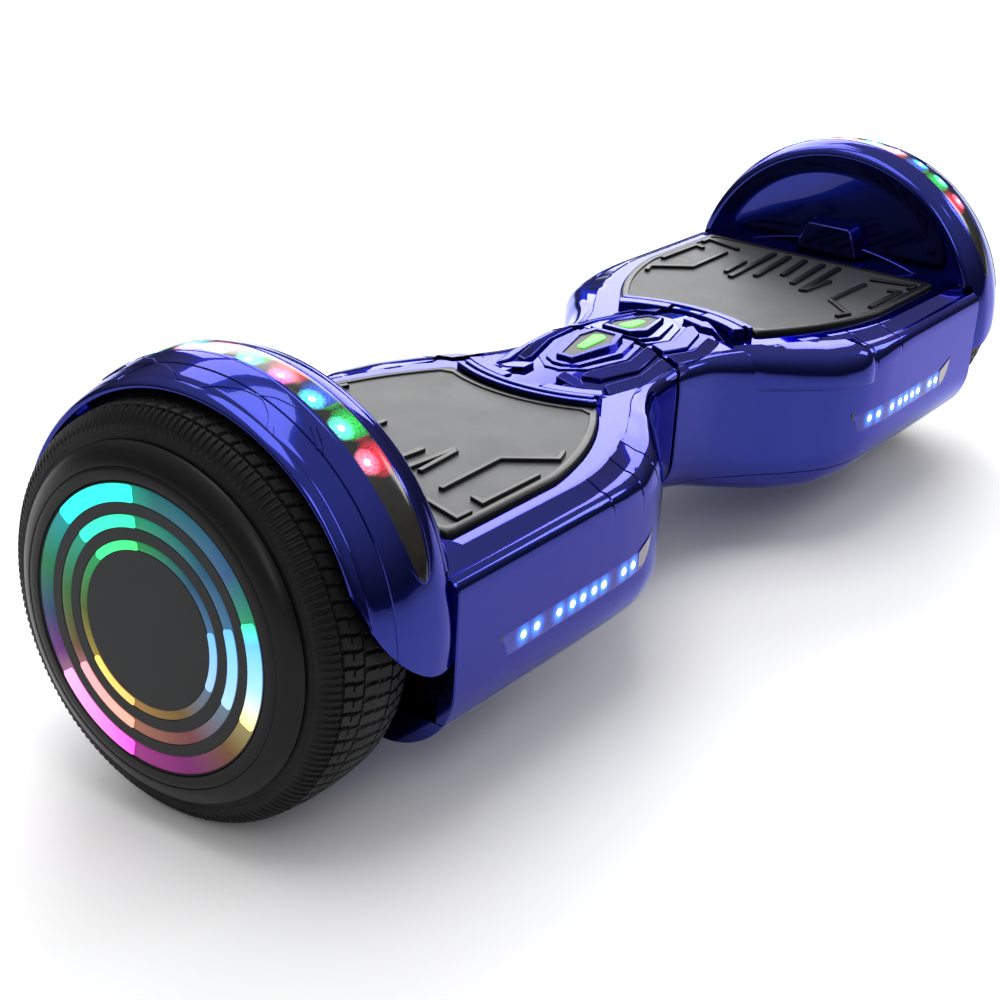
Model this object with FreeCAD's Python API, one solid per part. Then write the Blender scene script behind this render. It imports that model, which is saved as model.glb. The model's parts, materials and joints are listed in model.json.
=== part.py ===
"""A self balancing hoverboard with 6.5 inch class hub motor wheels, as separate solids.

The row frame is +Z up, with X along the wheel axles. The front, where the headlights are, faces -Y.
The origin is on the floor under the middle of the board. Every sub-part of a half is drawn for the
right half, on +X, and mirrored in the YZ plane for the left one, unless its own comment says more.
Sizes are in millimetres.
"""

import math
import os

import FreeCAD
import Part

V = FreeCAD.Vector

# Wheels and axles
WHEEL_R = 80.0
AXLE_Z = WHEEL_R
TYRE_X0, TYRE_X1 = 247.5, 294.5
TYRE_BORE_R = 60.0
TYRE_SHOULDER = 9.0
HUB_FACE_X = 301.4
HUB_COVER_R = 68.0
LIGHT_DISC_R = 54.3
LIGHT_DISC_T = 1.8
DRUM_X0, DRUM_X1 = 247.5, 287.5
DRUM_WALL = 5.5
DRUM_PLATE = 4.0
MAGNET_X0, MAGNET_X1, MAGNET_T = 255.0, 279.0, 2.6
STATOR_X0, STATOR_X1 = 261.0, 273.0
STATOR_R = 50.8
STATOR_TEETH = 18
AXLE_R = 8.0
AXLE_X0, AXLE_X1 = 188.0, 284.0
BEARING_R, BEARING_W = 16.0, 9.0

# Casing of one half
SEAM_X = 1.5
END_X = 238.5
WALL = 3.0
DECK_Z = 108.5
SPLIT_Z = 46.0
SPLIT_GAP = 0.3
# The casing's stations along X: x, half width, lowest z, bottom corner radius, shoulder radius
STATIONS = [
    (SEAM_X, 38.0, 44.0, 20.0, 8.0),
    (25.0, 42.0, 40.0, 20.0, 9.0),
    (46.0, 53.0, 36.0, 20.0, 13.0),
    (67.0, 69.0, 33.0, 22.0, 17.0),
    (88.0, 82.0, 31.5, 26.0, 18.0),
    (108.0, 87.0, 31.0, 29.0, 14.0),
    (129.0, 88.5, 31.0, 31.0, 10.0),
    (150.0, 88.7, 31.0, 31.0, 8.0),
]

# Raised centre that carries the status windows, crowned across its width
BOSS_X, BOSS_R, BOSS_TOP = 9.0, 72.5, 118.5
BOSS_CROWN_R = 81.0
WINDOW_X0, WINDOW_X1, WINDOW_HALF = 6.0, 40.0, 10.5
WINDOW_T = 3.0

# Foot pad, and the floor of the recess under it
PAD_TOP, PAD_T = 110.0, 5.0
PAD_OUT_X, PAD_HALF = 218.5, 68.6
PAD_ARC_R = 73.5
PAD_STRAIGHT_X = 149.0
PAD_BEND = (106.0, 57.0)
PAD_GAP = 0.6
PAD_FLOOR_Z0, PAD_FLOOR_Z1 = 99.6, 102.4
PLUNGER_X, PLUNGER_Y, PLUNGER_R = 148.0, 38.0, 5.0

# Fender: an arch turned about an axis at FENDER_Z, as (x, outer radius), with rounded ends in XZ
FENDER_WALL = 2.4
FENDER_Z = 82.0
FENDER_FROM = 72.0
FENDER_ARCS = [(234.0, 83.0), (240.5, 87.8), (250.0, 90.0), (261.0, 89.2), (272.0, 86.4), (283.0, 82.6)]
FENDER_ENDS = [(252.0, 74.0), (262.0, 79.0), (271.0, 87.0), (278.0, 97.0), (284.0, 112.0)]
STRIP_X0, STRIP_X1 = 247.0, 262.0
STRIP_FROM_DEG = 19.0
STRIP_LEDS = 10
STRIP_LED_SPAN = 84.0

# Headlights: the outline in XZ of one whose sharp end points to the middle of the board
LENS_OUTLINE = [(211, 73), (113, 73), (100.5, 77.5), (103.5, 68), (108, 63), (206.8, 62.7)]
LENS_SPAN = 306.0
LENS_T = 2.2
WALL_Y = 88.7
LIGHT_X = (117.5, 125.3, 140.7, 147.7, 155.7, 163.2, 172.5, 187.6, 196.5)
LIGHT_Z = 68.4

# Chassis, pivot and what they carry
PIVOT_Z = AXLE_Z
PIVOT_R, PIVOT_BORE = 12.0, 8.5
PIVOT_END = 60.0
BUSH_R, BUSH_GAP = 15.0, 0.05
BOSS_OUT_R = 20.0
TRAY_Z0, TRAY_Z1 = 50.0, 54.0
TRAY_HALF = 55.0
TRAY_END = 224.0
RAIL_T, RAIL_TOP = 4.0, 92.0
CLAMP_X0, CLAMP_X1 = 192.0, 222.0
CLAMP_HALF = 26.0
CLAMP_TOP = 93.0
CLAMP_BOLTS = [(199.0, 18.0), (199.0, -18.0), (215.0, 18.0), (215.0, -18.0)]
BOARD_T = 1.6
SCREW_SPOTS = [(60.0, 24.0), (60.0, -24.0), (132.0, 46.0), (132.0, -46.0), (214.0, 40.0), (214.0, -40.0)]
SCREW_HEAD_R, SCREW_R, SCREW_SEAT_Z = 3.8, 1.9, 42.4

# Charge socket and power button, on the right half's back face
PORT_X, BUTTON_X, PANEL_Z = 190.0, 158.0, 88.5
PORT_R, BUTTON_R = 8.0, 6.0
CAP_SIZE, CAP_T = 19.0, 1.4
HINGE_R = 0.8


def box(x0, x1, y0, y1, z0, z1):
    return Part.makeBox(x1 - x0, y1 - y0, z1 - z0, V(x0, y0, z0))


def cylinder(radius, start, length, axis):
    return Part.makeCylinder(radius, length, start, axis)


def disc_x(radius, x0, x1, z, y=0.0):
    """A round bar along X."""
    return cylinder(radius, V(x0, y, z), x1 - x0, V(1, 0, 0))


def ring_x(r_out, r_in, x0, x1, z):
    return disc_x(r_out, x0, x1, z).cut(disc_x(r_in, x0 - 1, x1 + 1, z))


def post(radius, x, y, z0, z1):
    return cylinder(radius, V(x, y, z0), z1 - z0, V(0, 0, 1))


def prism(points, start, along):
    """A polygon of 3-D points, extruded by the vector along."""
    wire = Part.makePolygon([V(*p) + start for p in points + points[:1]])
    return Part.Face(wire).extrude(along)


def turned(profile, z):
    """A closed (x, radius) outline turned about the axle at height z."""
    wire = Part.makePolygon([V(x, 0, z + r) for x, r in profile + profile[:1]])
    return Part.Face(wire).revolve(V(0, 0, z), V(1, 0, 0), 360)


def group(shapes):
    return Part.makeCompound(shapes)


def fused(shapes):
    whole = shapes[0]
    for shape in shapes[1:]:
        whole = whole.fuse(shape)
    return whole.removeSplitter()


def mirrored(shape):
    return shape.mirror(V(0, 0, 0), V(1, 0, 0))


# ---- casing ----------------------------------------------------------------------------------


def casing_section(x, half, low, corner, shoulder, inset):
    """The casing's outline across X: flat top and bottom, round shoulders, rounder lower corners."""
    half, low, top = half - inset, low + inset, DECK_Z - inset
    shoulder, corner = shoulder - inset * 0.5, corner - inset * 0.5
    cut = 1 - math.sqrt(0.5)

    def corner_arc(side, z_corner, radius, up):
        """A quarter circle between the side wall and the top or bottom."""
        sign = 1 if up else -1
        wall = V(x, side * half, z_corner - sign * radius)
        middle = V(x, side * (half - radius * cut), z_corner - sign * radius * cut)
        flat = V(x, side * (half - radius), z_corner)
        return wall, middle, flat

    right_top = corner_arc(1, top, shoulder, True)
    left_top = corner_arc(-1, top, shoulder, True)
    right_low = corner_arc(1, low, corner, False)
    left_low = corner_arc(-1, low, corner, False)
    edges = [
        Part.Arc(*right_top).toShape(),
        Part.makeLine(right_top[2], left_top[2]),
        Part.Arc(*reversed(left_top)).toShape(),
        Part.makeLine(left_top[0], left_low[0]),
        Part.Arc(*left_low).toShape(),
        Part.makeLine(left_low[2], right_low[2]),
        Part.Arc(*reversed(right_low)).toShape(),
        Part.makeLine(right_low[0], right_top[0]),
    ]
    return Part.Wire(edges)


def casing_form(inset=0.0):
    """The closed outer form of a half, or that form drawn in by a wall thickness."""
    stations = [list(s) for s in STATIONS]
    stations[0][0] += inset
    wires = [casing_section(*station, inset) for station in stations]
    waist = Part.makeLoft(wires, True, False)
    straight = Part.Face(wires[-1]).extrude(V(END_X - inset - stations[-1][0], 0, 0))
    return waist.fuse(straight)


def pad_outline(grow):
    """The foot pad's plan outline: hollow towards the round centre, straight beside the fender."""
    arc_r = PAD_ARC_R - grow
    half, out = PAD_HALF + grow, PAD_OUT_X + grow
    inner_y = 38.0 + grow
    inner_x = BOSS_X + math.sqrt(arc_r**2 - inner_y**2)
    bend_x, bend_y = PAD_BEND[0] - grow * 0.5, PAD_BEND[1] + grow
    low, high = V(inner_x, -inner_y, 0), V(inner_x, inner_y, 0)
    edges = [
        Part.Arc(low, V(BOSS_X + arc_r, 0, 0), high).toShape(),
        Part.Arc(high, V(bend_x, bend_y, 0), V(PAD_STRAIGHT_X, half, 0)).toShape(),
        Part.makeLine(V(PAD_STRAIGHT_X, half, 0), V(out, half, 0)),
        Part.makeLine(V(out, half, 0), V(out, -half, 0)),
        Part.makeLine(V(out, -half, 0), V(PAD_STRAIGHT_X, -half, 0)),
        Part.Arc(V(PAD_STRAIGHT_X, -half, 0), V(bend_x, -bend_y, 0), low).toShape(),
    ]
    return Part.Wire(edges)


def pad_prism(grow, z0, z1):
    face = Part.Face(pad_outline(grow))
    face.translate(V(0, 0, z0))
    return face.extrude(V(0, 0, z1 - z0))


def window_outline(grow):
    """A five sided window, widest near the seam and narrow away from it."""
    x0, x1, half = WINDOW_X0 - grow, WINDOW_X1 + grow, WINDOW_HALF + grow
    shoulder_x, seam_half, far_half = x0 + 11.0, half * 0.65, half * 0.4
    return [
        (x0, -seam_half, 0),
        (shoulder_x, -half, 0),
        (x1, -far_half, 0),
        (x1, far_half, 0),
        (shoulder_x, half, 0),
        (x0, seam_half, 0),
    ]


def window_prism(grow, z0, z1):
    return prism(window_outline(grow), V(0, 0, z0), V(0, 0, z1 - z0))


def lens_prism(grow, y0, y1, sharp_inside):
    """A headlight's outline grown outward from its middle, as a bar along Y."""
    points = LENS_OUTLINE
    if not sharp_inside:
        points = [(LENS_SPAN - x, z) for x, z in reversed(points)]
    wire = Part.makePolygon([V(x, y0, z) for x, z in points + points[:1]])
    face = Part.Face(wire)
    if grow:
        face = Part.Face(wire.makeOffset2D(grow, 2))
    return face.extrude(V(0, y1 - y0, 0))


def boss():
    """The raised round centre, cut off at the seam."""
    disc = post(BOSS_R, BOSS_X, 0, DECK_Z - 1, BOSS_TOP)
    crown = disc_x(BOSS_CROWN_R, SEAM_X, END_X, BOSS_TOP - BOSS_CROWN_R)
    inside = box(SEAM_X, END_X, -37.5, 37.5, 0, 200)
    return disc.common(crown).common(inside)


def deck_shell(form, core, sharp_inside):
    """The upper casing: deck rim, pad floor, front and back walls and the raised centre."""
    floor = pad_prism(PAD_GAP + WALL, PAD_FLOOR_Z0, DECK_Z - 1).common(form)
    shell = form.cut(core).fuse(floor).fuse(boss())
    shell = shell.cut(box(-10, 400, -200, 200, -10, SPLIT_Z + SPLIT_GAP))
    shell = shell.cut(pad_prism(PAD_GAP, PAD_FLOOR_Z1, BOSS_TOP + 5))
    for y in (-PLUNGER_Y, PLUNGER_Y):
        shell = shell.cut(post(PLUNGER_R + 0.8, PLUNGER_X, y, 90, DECK_Z))
    shell = shell.cut(window_prism(0.3, BOSS_TOP - WINDOW_T, BOSS_TOP + 5))
    for side, sharp in ((-1, sharp_inside), (1, not sharp_inside)):
        outer, seat, inner = side * (WALL_Y + 5), side * (WALL_Y - LENS_T), side * (WALL_Y - 26)
        shell = shell.cut(lens_seat(0.2, outer, seat, sharp))
        shell = shell.cut(lens_seat(-1.6, outer, inner, sharp))
    shell = shell.cut(disc_x(AXLE_R + 2, END_X - 10, END_X + 5, AXLE_Z))
    return shell.cut(disc_x(BOSS_OUT_R + 1, SEAM_X - 5, SEAM_X + 10, PIVOT_Z))


def lens_seat(grow, y0, y1, sharp_inside):
    y0, y1 = sorted((y0, y1))
    return lens_prism(grow, y0, y1, sharp_inside)


def base_shell(form, core):
    """The lower casing, a shallow tray held by screws from below."""
    shell = form.cut(core).common(box(-10, 400, -200, 200, -10, SPLIT_Z))
    for x, y in SCREW_SPOTS:
        shell = shell.fuse(post(6.5, x, y, 20.0, TRAY_Z0 - 0.2).common(form))
    for x, y in SCREW_SPOTS:
        shell = shell.cut(post(SCREW_HEAD_R + 0.4, x, y, 20.0, SCREW_SEAT_Z))
        shell = shell.cut(post(SCREW_R + 0.1, x, y, 20.0, TRAY_Z0 + 1))
    return shell.cut(disc_x(BOSS_OUT_R + 1, SEAM_X - 5, SEAM_X + 10, PIVOT_Z))


# ---- fender ----------------------------------------------------------------------------------


def fender_form(inset):
    """The round solid under the fender's outside, moved inward by inset."""
    curve = Part.BSplineCurve()
    curve.interpolate([V(x, 0, FENDER_Z + radius - inset) for x, radius in FENDER_ARCS])
    x0, x1 = FENDER_ARCS[0][0], FENDER_ARCS[-1][0]
    foot = [V(x1, 0, FENDER_Z), V(x0, 0, FENDER_Z)]
    lines = [Part.makeLine(curve.EndPoint, foot[0]), Part.makeLine(*foot), Part.makeLine(foot[1], curve.StartPoint)]
    face = Part.Face(Part.Wire([curve.toShape()] + lines))
    return face.revolve(V(0, 0, FENDER_Z), V(1, 0, 0), 360)


def strip_region(gap):
    """The stretch of fender that the light strip's lens fills."""
    reach = 140.0
    slope = math.radians(STRIP_FROM_DEG) - gap / 90.0
    side = reach * math.cos(slope)
    rise = reach * math.sin(slope)
    points = [(0, 0), (side, rise), (side, reach * 2), (-side, reach * 2), (-side, rise)]
    corners = [(STRIP_X0 - gap, y, AXLE_Z + z) for y, z in points]
    return prism(corners, V(0, 0, 0), V(STRIP_X1 - STRIP_X0 + 2 * gap, 0, 0))


def strip_ends(gap):
    """The stretches of fender below the two ends of the light strip's lens, as two prisms."""
    reach = 140.0
    slope = math.radians(STRIP_FROM_DEG) - gap / 90.0
    x0, x1 = STRIP_X0 - gap, STRIP_X1 + gap
    ends = []
    for side in (-1, 1):
        y = side * reach * math.cos(slope)
        z = AXLE_Z + reach * math.sin(slope)
        corners = [(x0, 0, FENDER_FROM), (x0, y, FENDER_FROM), (x0, y, z), (x0, 0, AXLE_Z)]
        ends.append(prism(corners, V(0, 0, 0), V(x1 - x0, 0, 0)))
    return ends


def fender_band():
    """The arched band over the tyre, with no wall, no slot and square ends."""
    return fender_form(0.0).cut(fender_form(FENDER_WALL))


def fender(band):
    """The wheel arch: the band, the wall that faces the foot, and the slot for the light strip."""
    gap = 0.15
    wall = fender_form(0.0).common(box(FENDER_ARCS[0][0], END_X + 0.6, -120, 120, DECK_Z, 220))
    inside = band.common(box(END_X + 0.6, STRIP_X0 - gap, -120, 120, FENDER_FROM, 220))
    outside = band.common(box(STRIP_X1 + gap, 300, -120, 120, FENDER_FROM, 220))
    ends = [band.common(end) for end in strip_ends(gap)]
    arch = inside.fuse([outside, wall] + ends).removeSplitter()
    below = [(END_X, 60.0), (END_X, FENDER_FROM)] + FENDER_ENDS + [(300.0, 112.0), (300.0, 60.0)]
    return arch.cut(prism([(x, -120.0, z) for x, z in below], V(0, 0, 0), V(0, 240, 0)))


def fender_lens(band):
    return band.common(strip_region(0.0))


def fender_leds():
    """The flexible light strip under the lens, with its light emitting diodes."""
    inset = FENDER_WALL + 1.6
    strip = fender_form(inset).cut(fender_form(inset + 0.8))
    strip = strip.common(strip_region(-2.0))
    x, radius = FENDER_ARCS[2]
    seat = radius - inset
    for i in range(STRIP_LEDS):
        turn = STRIP_LED_SPAN * (i / (STRIP_LEDS - 1) - 0.5)
        led = box(x + 3, x + 6, -1.5, 1.5, seat - 0.6, seat + 0.8)
        led.rotate(V(x, 0, 0), V(1, 0, 0), turn)
        led.translate(V(0, 0, FENDER_Z))
        strip = strip.fuse(led)
    return strip


# ---- lights ----------------------------------------------------------------------------------


def light_lenses(form, sharp_inside):
    """The front headlight lens and the back light lens of one half, as two solids."""
    lenses = []
    for side, sharp in ((-1, sharp_inside), (1, not sharp_inside)):
        inner = side * (WALL_Y - LENS_T + 0.1)
        lenses.append(lens_seat(0.0, side * (WALL_Y + 5), inner, sharp).common(form))
    return group(lenses)


def light_boards(sharp_inside):
    """The circuit boards behind the lenses, each with nine light emitting diodes."""
    solids = []
    for side, sharp in ((-1, sharp_inside), (1, not sharp_inside)):
        lights = LIGHT_X if sharp else [LENS_SPAN - x for x in LIGHT_X]
        back, face, tip = side * 79.0, side * (79.0 + BOARD_T), side * (79.0 + BOARD_T + 1.8)
        y0, y1 = sorted((back, face))
        board = box(min(lights) - 4, max(lights) + 4, y0, y1, LIGHT_Z - 4.5, LIGHT_Z + 4.5)
        y0, y1 = sorted((face, tip))
        for x in lights:
            board = board.fuse(box(x - 1.75, x + 1.75, y0, y1, LIGHT_Z - 1.75, LIGHT_Z + 1.75))
        solids.append(board)
    return group(solids)


# ---- wheel -----------------------------------------------------------------------------------


def tyre():
    """A solid rubber tyre with a crowned tread and round shoulders."""
    cut = TYRE_SHOULDER * (1 - math.sqrt(0.5))
    x0, x1, s = TYRE_X0, TYRE_X1, TYRE_SHOULDER
    profile = [
        V(x0, 0, TYRE_BORE_R),
        V(x0, 0, WHEEL_R - 1 - s),
        V(x0 + cut, 0, WHEEL_R - 1 - cut),
        V(x0 + s, 0, WHEEL_R - 1),
        V((x0 + x1) / 2, 0, WHEEL_R),
        V(x1 - s, 0, WHEEL_R - 1),
        V(x1 - cut, 0, WHEEL_R - 1 - cut),
        V(x1, 0, WHEEL_R - 1 - s),
        V(x1, 0, TYRE_BORE_R),
    ]
    edges = [
        Part.makeLine(profile[0], profile[1]),
        Part.Arc(profile[1], profile[2], profile[3]).toShape(),
        Part.Arc(profile[3], profile[4], profile[5]).toShape(),
        Part.Arc(profile[5], profile[6], profile[7]).toShape(),
        Part.makeLine(profile[7], profile[8]),
        Part.makeLine(profile[8], profile[0]),
    ]
    solid = Part.Face(Part.Wire(edges)).revolve(V(0, 0, 0), V(1, 0, 0), 360)
    solid.translate(V(0, 0, AXLE_Z))
    return solid


def motor_drum():
    """The hub motor's outer drum: the rim inside the tyre with its inner end plate."""
    r, wall, plate = TYRE_BORE_R, DRUM_WALL, DRUM_PLATE
    bore = BEARING_R
    profile = [
        (DRUM_X0, bore),
        (DRUM_X0, r),
        (DRUM_X1, r),
        (DRUM_X1, r - wall),
        (DRUM_X0 + plate, r - wall),
        (DRUM_X0 + plate, bore + 4),
        (DRUM_X0 + BEARING_W + 1, bore + 4),
        (DRUM_X0 + BEARING_W + 1, bore),
    ]
    return turned(profile, AXLE_Z)


def motor_plate():
    """The outer end plate that closes the drum and holds the outer bearing."""
    x1, r = DRUM_X1 - 4.2, TYRE_BORE_R - DRUM_WALL
    profile = [
        (x1, BEARING_R),
        (x1 - BEARING_W + 4, BEARING_R),
        (x1 - BEARING_W + 4, BEARING_R + 4),
        (x1, BEARING_R + 4),
        (x1, r),
        (x1 + DRUM_PLATE, r),
        (x1 + DRUM_PLATE, BEARING_R),
    ]
    return turned(profile, AXLE_Z)


def magnets():
    """Thin magnets around the inside of the drum, one for each of twenty poles."""
    r_out = TYRE_BORE_R - DRUM_WALL
    ring = ring_x(r_out, r_out - MAGNET_T, MAGNET_X0, MAGNET_X1, AXLE_Z)
    poles = 20
    for i in range(poles):
        gap = box(MAGNET_X0 - 1, MAGNET_X1 + 1, -0.8, 0.8, r_out - MAGNET_T - 2, r_out + 2)
        gap.rotate(V(0, 0, 0), V(1, 0, 0), 360.0 * i / poles)
        gap.translate(V(0, 0, AXLE_Z))
        ring = ring.cut(gap)
    return ring


def stator():
    """The wound stator: a laminated core with one tooth for each coil."""
    inner, slot_in = AXLE_R, 34.0
    core = ring_x(STATOR_R, inner, STATOR_X0, STATOR_X1, AXLE_Z)
    x0, x1 = STATOR_X0 - 3, STATOR_X1 + 3
    for i in range(STATOR_TEETH):
        slot = box(x0, x1, -3.2, 3.2, slot_in, STATOR_R - 2.5)
        mouth = box(x0, x1, -1.2, 1.2, STATOR_R - 3.5, STATOR_R + 2)
        for cutter in (slot, mouth):
            cutter.rotate(V(0, 0, 0), V(1, 0, 0), 360.0 * i / STATOR_TEETH)
            cutter.translate(V(0, 0, AXLE_Z))
            core = core.cut(cutter)
    return core


def stator_coils():
    """The copper coils, one block in each slot."""
    coils = []
    for i in range(STATOR_TEETH):
        coil = box(STATOR_X0 - 2, STATOR_X1 + 2, -3.0, 3.0, 34.2, STATOR_R - 3.8)
        coil.rotate(V(0, 0, 0), V(1, 0, 0), 360.0 * i / STATOR_TEETH)
        coil.translate(V(0, 0, AXLE_Z))
        coils.append(coil)
    return group(coils)


def axle():
    """The fixed steel axle, with the flat that its clamp holds."""
    bar = disc_x(AXLE_R, AXLE_X0, AXLE_X1, AXLE_Z)
    flat = box(AXLE_X0 - 1, CLAMP_X1 - 2, -AXLE_R, AXLE_R, AXLE_Z + AXLE_R - 1.2, AXLE_Z + AXLE_R + 1)
    return bar.cut(flat)


def wheel_bearings():
    """The two ball bearings between axle and drum, drawn as plain rings."""
    inner_x, outer_x = DRUM_X0, DRUM_X1 - 4.2 - BEARING_W + 4
    r_in = AXLE_R + 0.05
    return group(
        [
            ring_x(BEARING_R, r_in, inner_x, inner_x + BEARING_W, AXLE_Z),
            ring_x(BEARING_R, r_in, outer_x, outer_x + BEARING_W, AXLE_Z),
        ]
    )


def hub_cover():
    """The domed plastic cover on the wheel's outer face, with a seat for the light disc."""
    seat = HUB_FACE_X - LIGHT_DISC_T
    profile = [
        (DRUM_X1 + 0.2, 20),
        (DRUM_X1 + 0.2, TYRE_BORE_R - 1),
        (TYRE_X1 + 0.2, TYRE_BORE_R - 1),
        (TYRE_X1 + 0.2, HUB_COVER_R),
        (TYRE_X1 + 2.5, HUB_COVER_R),
        (HUB_FACE_X - 3.0, HUB_COVER_R - 5),
        (HUB_FACE_X, LIGHT_DISC_R + 4),
        (HUB_FACE_X, LIGHT_DISC_R + 0.2),
        (seat, LIGHT_DISC_R + 0.2),
        (seat, 0),
        (seat - 3, 0),
        (seat - 3, LIGHT_DISC_R - 2),
        (DRUM_X1 + 3, LIGHT_DISC_R - 2),
        (DRUM_X1 + 3, 20),
    ]
    return turned(profile, AXLE_Z)


def light_disc():
    """The translucent disc over the wheel's ring of lights."""
    return disc_x(LIGHT_DISC_R, HUB_FACE_X - LIGHT_DISC_T, HUB_FACE_X, AXLE_Z)


# ---- chassis and what it carries -------------------------------------------------------------


def chassis(boss_bore):
    """The cast aluminium chassis: tray, rails, pivot boss, axle saddle and base screw holes."""
    waist_x, wide_x = 10.0, 96.0
    outline = [
        (waist_x, -20, 0),
        (40, -24, 0),
        (wide_x, -TRAY_HALF, 0),
        (TRAY_END, -TRAY_HALF, 0),
        (TRAY_END, TRAY_HALF, 0),
        (wide_x, TRAY_HALF, 0),
        (40, 24, 0),
        (waist_x, 20, 0),
    ]
    tray = prism(outline, V(0, 0, TRAY_Z0), V(0, 0, TRAY_Z1 - TRAY_Z0))
    solids = [tray]
    for side in (-1, 1):
        y0, y1 = sorted((side * (TRAY_HALF - RAIL_T), side * TRAY_HALF))
        solids.append(box(wide_x, TRAY_END, y0, y1, TRAY_Z0, RAIL_TOP))
    solids.append(disc_x(BOSS_OUT_R, waist_x - 6, PIVOT_END - 4, PIVOT_Z))
    solids.append(box(waist_x, PIVOT_END - 4, -8, 8, TRAY_Z0, PIVOT_Z))
    solids.append(box(CLAMP_X0, CLAMP_X1, -CLAMP_HALF, CLAMP_HALF, TRAY_Z0, AXLE_Z - 0.6))
    solids.append(box(PIVOT_END - 8, PIVOT_END - 4, -30, 30, TRAY_Z0, PIVOT_Z))
    body = fused(solids)
    body = body.cut(disc_x(boss_bore, 0, PIVOT_END + 2, PIVOT_Z))
    body = body.cut(disc_x(AXLE_R, CLAMP_X0 - 1, CLAMP_X1 + 1, AXLE_Z))
    for x, y in CLAMP_BOLTS:
        body = body.cut(post(2.5, x, y, AXLE_Z - 22, AXLE_Z + 1))
    for x, y in SCREW_SPOTS:
        body = body.cut(post(SCREW_R + 0.1, x, y, TRAY_Z0 - 1, TRAY_Z1 + 1))
    return body


def axle_clamp():
    """The block that bolts down on the axle's flat."""
    block = box(CLAMP_X0, CLAMP_X1, -CLAMP_HALF, CLAMP_HALF, AXLE_Z, CLAMP_TOP)
    block = block.cut(axle())
    for x, y in CLAMP_BOLTS:
        block = block.cut(post(2.6, x, y, AXLE_Z - 2, CLAMP_TOP + 1))
    return block


def clamp_screws():
    screws = []
    for x, y in CLAMP_BOLTS:
        head = post(4.2, x, y, CLAMP_TOP, CLAMP_TOP + 4).cut(post(2.0, x, y, CLAMP_TOP + 2, CLAMP_TOP + 5))
        screws.append(post(2.4, x, y, AXLE_Z - 20, CLAMP_TOP).fuse(head))
    return group(screws)


def base_screws():
    screws = []
    for x, y in SCREW_SPOTS:
        seat = SCREW_SEAT_Z
        head = post(SCREW_HEAD_R, x, y, seat - 2.4, seat)
        cross = box(x - 2.2, x + 2.2, y - 0.4, y + 0.4, seat - 3, seat - 1.2)
        cross = cross.fuse(box(x - 0.4, x + 0.4, y - 2.2, y + 2.2, seat - 3, seat - 1.2))
        screws.append(head.cut(cross).fuse(post(SCREW_R, x, y, seat, TRAY_Z1)))
    return group(screws)


def foot_pad():
    """The rubber mat that the foot stands on."""
    return pad_prism(0.0, PAD_TOP - PAD_T, PAD_TOP)


def pad_plungers():
    """The two posts under a mat that break the light gates when the foot is down."""
    posts = []
    for y in (-38.0, 38.0):
        posts.append(post(PLUNGER_R, PLUNGER_X, y, RAIL_TOP + BOARD_T + 2.6, PAD_TOP - PAD_T))
    return group(posts)


def gyro_board():
    """The sensor board across the rails, with its motion sensor and the two pads' light gates."""
    top = RAIL_TOP + BOARD_T
    board = box(112, 180, -TRAY_HALF + 0.5, TRAY_HALF - 0.5, RAIL_TOP, top)
    board = board.fuse(box(142, 150, -4, 4, top, top + 1.2))
    for side in (-1, 1):
        for offset in (-6.5, 6.5):
            y = side * PLUNGER_Y + offset
            board = board.fuse(box(PLUNGER_X - 2, PLUNGER_X + 2, y - 1, y + 1, top, top + 4.0))
    return board


def battery():
    """The pack of twenty cells in its shrink wrap."""
    pack = box(63, 186, -46, 46, TRAY_Z1, 91.0)
    upright = [e for e in pack.Edges if abs(e.Vertexes[0].Z - e.Vertexes[1].Z) > 1]
    return pack.makeFillet(6.0, upright)


def control_board():
    """The main controller, a board on an aluminium heat spreader."""
    spreader = box(-176, -104, -44, 44, TRAY_Z1, TRAY_Z1 + 6)
    board = box(-174, -106, -42, 42, TRAY_Z1 + 6, TRAY_Z1 + 6 + BOARD_T)
    solids = [spreader, board]
    top = TRAY_Z1 + 6 + BOARD_T
    for i in range(6):
        x = -168 + 11 * i
        solids.append(box(x, x + 7, -38, -30, top, top + 14))
    for i in range(3):
        solids.append(post(6.0, -164 + 16 * i, 26, top, top + 20))
    return fused(solids)


def pivot_tube():
    """The steel tube that the two halves turn on."""
    return ring_x(PIVOT_R, PIVOT_BORE, -PIVOT_END + 2, PIVOT_END, PIVOT_Z)


def pivot_bushes():
    """The two flanged bushes in the right chassis boss that the tube turns in."""
    bore = PIVOT_R + BUSH_GAP
    near = ring_x(BUSH_R, bore, 4, 18, PIVOT_Z)
    far = ring_x(BUSH_R, bore, 42, PIVOT_END - 4, PIVOT_Z)
    far = far.fuse(ring_x(18, bore, PIVOT_END - 4, PIVOT_END - 3, PIVOT_Z))
    return group([near, far])


def pivot_ring():
    """The retaining ring on the tube's free end."""
    return ring_x(17.0, PIVOT_R, PIVOT_END - 2.6, PIVOT_END, PIVOT_Z)


def centre_harness():
    """The sleeved cable bundle that crosses from one half to the other inside the tube."""
    return disc_x(6.5, -72, 61.5, PIVOT_Z)


# ---- charge socket and button ----------------------------------------------------------------


def bar_y(radius, x, y0, y1):
    return cylinder(radius, V(x, y0, PANEL_Z), y1 - y0, V(0, 1, 0))


def charge_socket():
    """The three pin charge socket behind its cap."""
    face = WALL_Y - 0.5
    body = bar_y(PORT_R - 0.1, PORT_X, face - 14, face)
    body = body.cut(bar_y(PORT_R - 2, PORT_X, face - 9, face + 3))
    for i in range(3):
        angle = math.radians(90 + 120 * i)
        pin = bar_y(0.8, PORT_X, face - 10, face - 4.6)
        pin.translate(V(3 * math.cos(angle), 0, 3 * math.sin(angle)))
        body = body.fuse(pin)
    return body


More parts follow.
